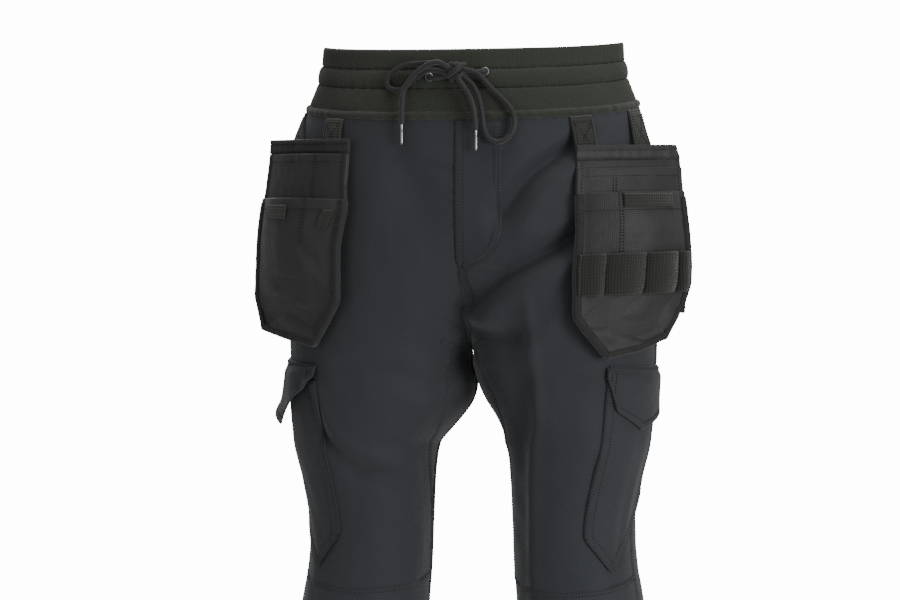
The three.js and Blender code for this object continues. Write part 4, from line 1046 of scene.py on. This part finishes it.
# Soft dents in the pouches where the cloth buckles above the foot: how far across and down each one lies,
# its length, width, slant and depth.
DENTS = {
    "left": [
        (.3, 160, 36, 9, .5, 3.6), (.55, 182, 44, 8, -.25, 4.5), (.8, 150, 40, 10, 1.0, 3),
        (.16, 128, 22, 6, 1.1, 1.6), (.45, 92, 40, 5, .05, .8)],
    "right": [
        (.35, 176, 44, 8, .25, 5), (.7, 172, 40, 9, -.5, 5), (.5, 146, 30, 9, .3, 2.4),
        (.22, 118, 22, 6, .8, 1.4), (.5, 98, 50, 6, .1, 1)],
}


def dented(word, width, share, v):
    total = 0
    for across, down, length, breadth, slant, depth in DENTS[word]:
        x, y = (share - across) * width, v - down
        along = x * math.cos(slant) - y * math.sin(slant)
        beside = x * math.sin(slant) + y * math.cos(slant)
        total = total + depth * np.exp(-(along / length) ** 2) * (
            np.exp(-(beside / breadth) ** 2) - 0.4 * np.exp(-((beside - 1.8 * breadth) / breadth) ** 2))
    return total


def holster_layer(holster, word, top, face, seed, hem, dents, step):
    """One layer of a holster from a height at its top to the foot, with a turned hem along the top."""
    def place(share, part, out):
        v = top + (np.interp(share, *holster["foot"].T) - top) * part
        return holster_point(holster, on_outline(holster, share, v), v, face(holster, share, v) + out)

    def relief(x, y, edge, share, part):
        v = top + (np.interp(share, *holster["foot"].T) - top) * part
        free = smoothstep(share, 0.02, 0.15) * smoothstep(1 - share, 0.02, 0.15)
        free = free * (1 - smoothstep(part, 0.9, 1))
        slack = 0.55 * waves(seed, 6, 22, 60, x, y * 0.7) + 0.2 * waves(seed + 1, 6, 9, 20, x, y)
        turned = 0.45 * (1 - smoothstep(y, hem, hem + 1.2)) if hem else 0
        from_side = 124 * np.minimum(share, 1 - share)
        sides = 0.6 * (1 - smoothstep(from_side, 6.5, 7.5)) * (1 - smoothstep(v, 44, 46))
        return np.maximum(turned, sides) + (slack - dents * dented(word, 124, share, v)) * free

    return patch(place, edged(124, step), edged(holster["foot"][2, 1] - top, step), 0, POCKET_CLOTH, relief)


def sew_row(points, way_out):
    """A row of stitches along a line, all with one way out."""
    stitch_rows.append((points, np.tile(way_out, (len(points), 1))))


# Pocket cloth: 600-denier polyester in a basket weave, black with a warm cast, slightly shiny where it
# bends. The threads, 0.5 mm apart, are drawn 2.2 mm apart so that the grain shows.
pocket_cloth, tree, skin, place = new_material("basket-weave polyester", "#262627", 0.6, sheen=0.15)
warp, weft = (add_node(tree, "ShaderNodeTexWave", {
    0: place.outputs["UV"], "Scale": 145, "Distortion": 0.8}, bands_direction=way) for way in "XY")
weave = add_node(tree, "ShaderNodeMath", {0: warp.outputs[1], 1: weft.outputs[1]}, operation="MULTIPLY")
grain = add_node(tree, "ShaderNodeTexNoise", {0: place.outputs["Object"], "Scale": 520, "Detail": 5})
height = add_node(tree, "ShaderNodeMath", {0: weave.outputs[0], 1: grain.outputs[0]}, operation="ADD")
fuzz = add_node(tree, "ShaderNodeBump", {"Height": height.outputs[0], "Strength": 0.3, "Distance": 0.0008})
tree.links.new(fuzz.outputs[0], skin.inputs["Normal"])
rubbed = add_node(tree, "ShaderNodeTexNoise", {0: place.outputs["Object"], "Scale": 45, "Detail": 5})
shade = add_node(tree, "ShaderNodeValToRGB", {0: rubbed.outputs[0]})
shade.color_ramp.elements[0].color = linear("#19191a")
shade.color_ramp.elements[1].color = linear("#2b2b2b")
tree.links.new(shade.outputs[0], skin.inputs["Base Color"])

# Webbing: thick flat-woven polyester, black with a green-brown cast, in a coarse basket weave whose threads
# are drawn 3 mm apart.
webbing, tree, skin, place = new_material("woven polyester webbing", "#21221c", 0.8, sheen=0.25)
ribs, picks = (add_node(tree, "ShaderNodeTexWave", {
    0: place.outputs["UV"], "Scale": 105, "Distortion": 0.6}, bands_direction=way) for way in "XY")
weave = add_node(tree, "ShaderNodeMath", {0: ribs.outputs[1], 1: picks.outputs[1]}, operation="MULTIPLY")
fuzz = add_node(tree, "ShaderNodeBump", {"Height": weave.outputs[0], "Strength": 0.8, "Distance": 0.001})
tree.links.new(fuzz.outputs[0], skin.inputs["Normal"])

# Binding tape: a thin, close-woven grosgrain, duller and darker than the webbing, ribbed across.
grosgrain, tree, skin, place = new_material("polyester grosgrain tape", "#1e1e1e", 0.82, sheen=0.2)
ribs = add_node(tree, "ShaderNodeTexNoise", {0: place.outputs["Object"], "Scale": 900, "Detail": 3})
fuzz = add_node(tree, "ShaderNodeBump", {"Height": ribs.outputs[0], "Strength": 0.4, "Distance": 0.0005})
tree.links.new(fuzz.outputs[0], skin.inputs["Normal"])

for word, holster in HOLSTERS.items():
    seed, inner_top, pouch_top = holster["seed"], holster["inner_top"], holster["pouch_top"]
    away = holster_out(holster)
    layers = {
        "back": (HEADBAND["height"] + SEAM_GAP, back_face, 0, 0, 3.4, 0.19),
        "inner_pocket": (inner_top, inner_face, 9, 0.2, 2.3, 0.185),
        "pouch": (pouch_top, pouch_face, holster["pouch_hem"], 1, 1.9, 0.16),
    }
    for number, (layer, (top, face, hem, dents, step, length)) in enumerate(layers.items()):
        bodies = [holster_layer(holster, word, top, face, seed + 5 * number, hem, dents, step)]
        piece = make_piece(f"holster_{layer}_{word}_cloth", bodies, pocket_cloth,
                           [f"holster_{layer}_{word}"])

    # Stitch rows: down the turned side edges, down a divider that parts the pockets, and along the hems.
    rows_down = [(share, 16, pouch_top - 2, inner_face) for share in (.042, .958)]
    for share in (.3, .325):
        rows_down.append((share, inner_top + 2, pouch_top - 1, inner_face))
        rows_down.append((share, pouch_top + 1, 104, pouch_face))
    for share, start, end, face in rows_down:
        down = np.linspace(start, end, 90)
        w = face(holster, share, down) + POCKET_CLOTH + 0.75
        sew_row(holster_point(holster, on_outline(holster, share, down), down, w), away)
    for v, face in ((inner_top + 8, inner_face), (pouch_top + holster["hem_row"], pouch_face)):
        across = np.linspace(0.06, 0.94, 140)
        w = face(holster, across, v) + POCKET_CLOTH + 0.6
        sew_row(holster_point(holster, on_outline(holster, across, v), v, w), away)

    # The head band: folded over the top edge with a raised lip, and stitched down below.
    share = np.linspace(0, 1, 150)[:, None]
    v, w = HEADBAND_SECTION.T
    u = on_outline(holster, share, np.clip(v, 0, None)[None, :])
    ripple = 0.35 * waves(seed + 20, 6, 8, 30, u) + 0.3 * waves(seed + 21, 4, 25, 60, u)
    bodies = [swept(holster_point(holster, u, v[None, :], w[None, :] + ripple * (w[None, :] > 1)))]
    piece = make_piece(
        f"holster_band_{word}_cloth", bodies, pocket_cloth, [f"holster_band_{word}"])
    for row in (4.4, 11.6):
        u = on_outline(holster, np.linspace(0.01, 0.99, 150), row)
        sew_row(holster_point(holster, u, row, 3.0), away)

    # The binding tape, folded round the edge of all the layers, front and back.
    down = np.linspace(pouch_top + 2, holster["foot"][0, 1], 60)
    shares = np.linspace(0.01, 0.99, 90)
    corners = [(on_outline(holster, 0, v), v) for v in down]
    foot = np.interp(shares, *holster["foot"].T)
    corners += [(on_outline(holster, share, v), v) for share, v in zip(shares, foot)]
    corners += [(on_outline(holster, 1, v), v) for v in down[::-1]]
    edge = smooth_path([(*c, 0) for c in np.array(corners)[::3]], 1.2)[:, :2]
    heading = unit(np.gradient(edge, axis=0))
    inwards = np.stack([heading[:, 1], -heading[:, 0]], axis=1)
    share_width = on_outline(holster, 1, edge[:, 1]) - on_outline(holster, 0, edge[:, 1])
    stations = []
    for (u, v), (into_u, into_v) in zip(edge, inwards):
        ring = []
        for a, w in TAPE_FRONT:
            pu, pv = u + into_u * a, v + into_v * a
            inner, outer = on_outline(holster, 0, pv), on_outline(holster, 1, pv)
            inside = np.clip((pu - inner) / (outer - inner), 0, 1)
            ring.append((pu, pv, pouch_face(holster, inside, pv) + POCKET_CLOTH + w))
        ring += [(u + into_u * a, v + into_v * a, w) for a, w in TAPE_BEHIND]
        stations.append(ring)
    stations = np.array(stations)
    swell = 0.25 * waves(seed + 30, 5, 10, 30, np.arange(len(edge)) * 1.2)[:, None]
    tape = holster_point(holster, stations[..., 0], stations[..., 1], stations[..., 2] + swell)
    piece = make_piece(
        f"holster_binding_{word}_tape", [swept(tape)], grosgrain, [f"holster_binding_{word}"])
    for inward in (1.9, 4.9):
        at = edge + inwards * inward
        inside = (at[:, 0] - on_outline(holster, 0, at[:, 1])) / share_width
        w = pouch_face(holster, np.clip(inside, 0, 1), at[:, 1]) + POCKET_CLOTH + 1.25
        sew_row(holster_point(holster, at[:, 0], at[:, 1], w), away)


def on_pouch(holster, share, v, out):
    u = on_outline(holster, share, v)
    return holster_point(holster, u, v, pouch_face(holster, share, v) + out)


# Four webbing straps, 26 mm wide, hang the holsters from just under the waist seam. Each is sewn to the
# holster's back with a box and a cross of stitches.
WEBBING = 1.8
STRAP = {"below": 1.2, "lap": 12, "behind": 0.4, "lift": 0.5, "bow": 2.2}
STRAPS = (
    ("left_inner", "left", 124, 99, 1, 25), ("left_outer", "left", 48, 23, 68, 92),
    ("right_inner", "right", 116, 91, 14, 39), ("right_outer", "right", 34, 9, 68, 93),
)


def basket(x, y, depth=0.25, pitch=3):
    """The raised squares of the coarse webbing weave, in mm."""
    return depth * np.cos(2 * math.pi * x / pitch) * np.cos(2 * math.pi * y / pitch)


for name, word, near, far, u_near, u_far in STRAPS:
    holster = HOLSTERS[word]
    side = holster["side"]

    def strap_place(share, part, out):
        distance = near + (far - near) * share
        top = waist_line(WAIST_SEAM, FRONT, turn_at(FRONT, distance, -45)) - STRAP["below"]
        start = cloth_point(side, FRONT, turn_at(FRONT, distance, top), top, STRAP["lift"] + out)
        u = u_near + (u_far - u_near) * share
        v = HEADBAND["height"] + SEAM_GAP + 1
        w = -STRAP["behind"] - WEBBING + out
        joined, foot = (holster_point(holster, u, v + lap, w) for lap in (0, STRAP["lap"]))
        q = np.clip(part / 0.75, 0, 1)[..., None]
        clear = np.array((side * 0.6, -0.8, 0)) * STRAP["bow"] * 4 * q * (1 - q)
        lapped = np.clip((part - 0.75) / 0.25, 0, 1)[..., None]
        return start * (1 - q) + joined * q + clear + (foot - joined) * lapped

    def strap_relief(x, y, edge, share, part):
        return basket(x, y) + 0.25 * waves(170, 4, 12, 30, x, y)

    piece = make_piece(
        f"strap_{name}_webbing",
        [patch(strap_place, edged(26, 1.0), np.linspace(0, 1, 50), 0, WEBBING, strap_relief, 0.8)],
        webbing, [f"strap_{name}"])
    at = np.linspace(0, 1, 40)
    level, across, down = 0 * at, .12 + .76 * at, .1 + .5 * at
    way_out = outward_normal(FRONT, turn_at(FRONT, (near + far) / 2, -50), -50) * (side, 1, 1)
    for share, part in ((.12 + level, down), (.88 + level, down), (across, down), (1 - across, down),
                        (across, .1 + level), (across, .6 + level)):
        sew_row(strap_place(share, part, WEBBING + 0.35 + level), way_out)


# On the left holster, coarse basket-woven webbing 40 mm wide is sewn down at intervals into four tool
# loops, empty here, and a strip is folded over the pouch's mouth.
LOOPS = {"top": 106, "foot": 146, "base": 2.7}
LOOP_SHARES = (0.03, 0.2, 0.51, 0.83, 0.97)
LOOP_RISE = (9, 10, 13, 8.5)


def loop_height(share):
    """How far the webbing stands off the pouch along the row of loops."""
    rise = 0 * share
    for start, end, most in zip(LOOP_SHARES, LOOP_SHARES[1:], LOOP_RISE):
        part = np.clip((share - start) / (end - start), 0, 1)
        rise = rise + most * np.sin(math.pi * part) ** 0.85
    over_tape = 0.9 * (1 - smoothstep(share, 0.03, 0.06) + smoothstep(share, 0.94, 0.97))
    return rise + over_tape


def loop_place(share, part, out):
    v = LOOPS["top"] + (LOOPS["foot"] - LOOPS["top"]) * part
    return on_pouch(HOLSTERS["left"], share, v, LOOPS["base"] + loop_height(share) + out)


def loop_relief(x, y, edge, share, part):
    return basket(x, y, 0.55) + 0.35 * waves(181, 5, 14, 40, x, y)


beside_join = np.linspace(-.012, .012, 9)
fine = np.unique(np.concatenate([np.linspace(0, 1, 130)] + [share + beside_join for share in LOOP_SHARES]))
fine = fine[(fine >= 0.005) & (fine <= 0.995)]
loops = make_piece(
    "holster_tool_loops_left_webbing",
    [patch(loop_place, fine, edged(40, 1.0, (0, .3, .8)), 0, WEBBING, loop_relief, 0.9)],
    webbing, ["holster_tool_loops_left"])
for share in LOOP_SHARES:
    for beside in (-0.006, 0.006):
        part = np.linspace(0.03, 0.97, 44)
        at = np.full(44, share + beside * (0.4 < share < 0.9))
        sew_row(loop_place(at, part, np.full(44, WEBBING + 0.1)), holster_out(HOLSTERS["left"]))

TRIMS = (
    ("holster_strip_left", "left", .33, .82, 48, 61, 0, 1.2, 2.0),
    ("holster_strip_right", "right", .48, .8, 66, 80, 0, 1.0, 1.6),
    ("holster_tab_right", "right", .07, .15, 70, 88, .03, 1.0, 1.6),
)
for name, word, start, end, top, foot, slant, lift, thickness in TRIMS:
    holster = HOLSTERS[word]

    def trim_place(share, part, out):
        v = top + (foot - top) * part
        return on_pouch(holster, start + (end - start) * share + slant * part, v, POCKET_CLOTH + lift + out)

    def trim_relief(x, y, edge, share, part):
        return basket(x, y) + 0.3 * waves(190, 4, 10, 30, x, y)

    width, height = (end - start) * 128, foot - top
    piece = make_piece(
        f"{name}_webbing",
        [patch(trim_place, edged(width, 0.8), edged(height, 0.8), 0, thickness, trim_relief, 0.9)],
        webbing, [name])


# Topstitching: bonded polyester thread, black, a stitch every 3 mm. Each stitch is a short thread drawn
# down into the cloth at both ends.
thread, tree, skin, place = new_material("bonded polyester thread", "#161618", 0.6)
twist = add_node(tree, "ShaderNodeTexNoise", {0: place.outputs["Object"], "Scale": 2500, "Detail": 2})
fuzz = add_node(tree, "ShaderNodeBump", {"Height": twist.outputs[0], "Strength": 0.4, "Distance": 0.0002})
tree.links.new(fuzz.outputs[0], skin.inputs["Normal"])

topstitch = bpy.data.node_groups.new("topstitch", "GeometryNodeTree")
interface = topstitch.interface
interface.new_socket(name="Seam rows", in_out="INPUT", socket_type="NodeSocketGeometry")
stitch_sizes = {"Stitch pitch": STITCH_PITCH * MM, "Stitch length": 0.0023, "Thread width": 0.0009}
sockets = {}
for name, kind in [(name, "Float") for name in stitch_sizes] + [("Thread", "Material")]:
    socket = interface.new_socket(name=name, in_out="INPUT", socket_type="NodeSocket" + kind)
    sockets[name] = socket.identifier
interface.new_socket(name="Stitches", in_out="OUTPUT", socket_type="NodeSocketGeometry")
given = add_node(topstitch, "NodeGroupInput").outputs
rows = add_node(topstitch, "GeometryNodeMeshToCurve", {0: given["Seam rows"]})
spots = add_node(topstitch, "GeometryNodeResampleCurve", {
    "Curve": rows.outputs[0], "Length": given["Stitch pitch"]}, mode="LENGTH")
ways = add_node(topstitch, "GeometryNodeInputNamedAttribute", {"Name": "ways_out"},
                data_type="FLOAT_VECTOR")
stood = add_node(topstitch, "FunctionNodeAlignRotationToVector", {"Vector": ways.outputs[0]}, axis="Z")
along = add_node(topstitch, "GeometryNodeInputTangent")
turned = add_node(topstitch, "FunctionNodeAlignRotationToVector", {
    "Rotation": stood.outputs[0], "Vector": along.outputs[0]}, axis="X", pivot_axis="Z")
bead = add_node(topstitch, "GeometryNodeMeshUVSphere", {"Segments": 5, "Rings": 3, "Radius": 0.5})
size = add_node(topstitch, "ShaderNodeCombineXYZ", {
    0: given["Stitch length"], 1: given["Thread width"], 2: given["Thread width"]})
one = add_node(topstitch, "GeometryNodeTransform", {"Geometry": bead.outputs[0], "Scale": size.outputs[0]})
laid = add_node(topstitch, "GeometryNodeInstanceOnPoints", {
    "Points": spots.outputs[0], "Instance": one.outputs[0], "Rotation": turned.outputs[0]})
real = add_node(topstitch, "GeometryNodeRealizeInstances", {0: laid.outputs[0]})
dyed = add_node(topstitch, "GeometryNodeSetMaterial", {0: real.outputs[0], "Material": given["Thread"]})
add_node(topstitch, "NodeGroupOutput", {0: dyed.outputs[0]})

row_points = np.vstack([line for line, _ in stitch_rows]) * MM
row_ends = np.cumsum([0] + [len(line) for line, _ in stitch_rows])
row_edges = [(i, i + 1) for start, end in zip(row_ends, row_ends[1:]) for i in range(start, end - 1)]
row_mesh = bpy.data.meshes.new("seam_rows")
row_mesh.from_pydata(row_points.tolist(), row_edges, [])
row_mesh.attributes.new("ways_out", "FLOAT_VECTOR", "POINT").data.foreach_set(
    "vector", np.vstack([ways for _, ways in stitch_rows]).astype(np.float32).ravel())
row_object = put_in_scene("seam_rows", row_mesh)
sewing = row_object.modifiers.new("topstitch", "NODES")
sewing.node_group = topstitch
for name, value in stitch_sizes.items():
    sewing[sockets[name]] = value
sewing[sockets["Thread"]] = thread
sewn = row_object.evaluated_get(bpy.context.evaluated_depsgraph_get())
stitch_mesh = bpy.data.meshes.new_from_object(sewn)
bpy.data.objects.remove(row_object)
stitches = put_in_scene("topstitching", stitch_mesh)
stitches.data.polygons.foreach_set("use_smooth", [True] * len(stitches.data.polygons))
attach(stitches, "root")
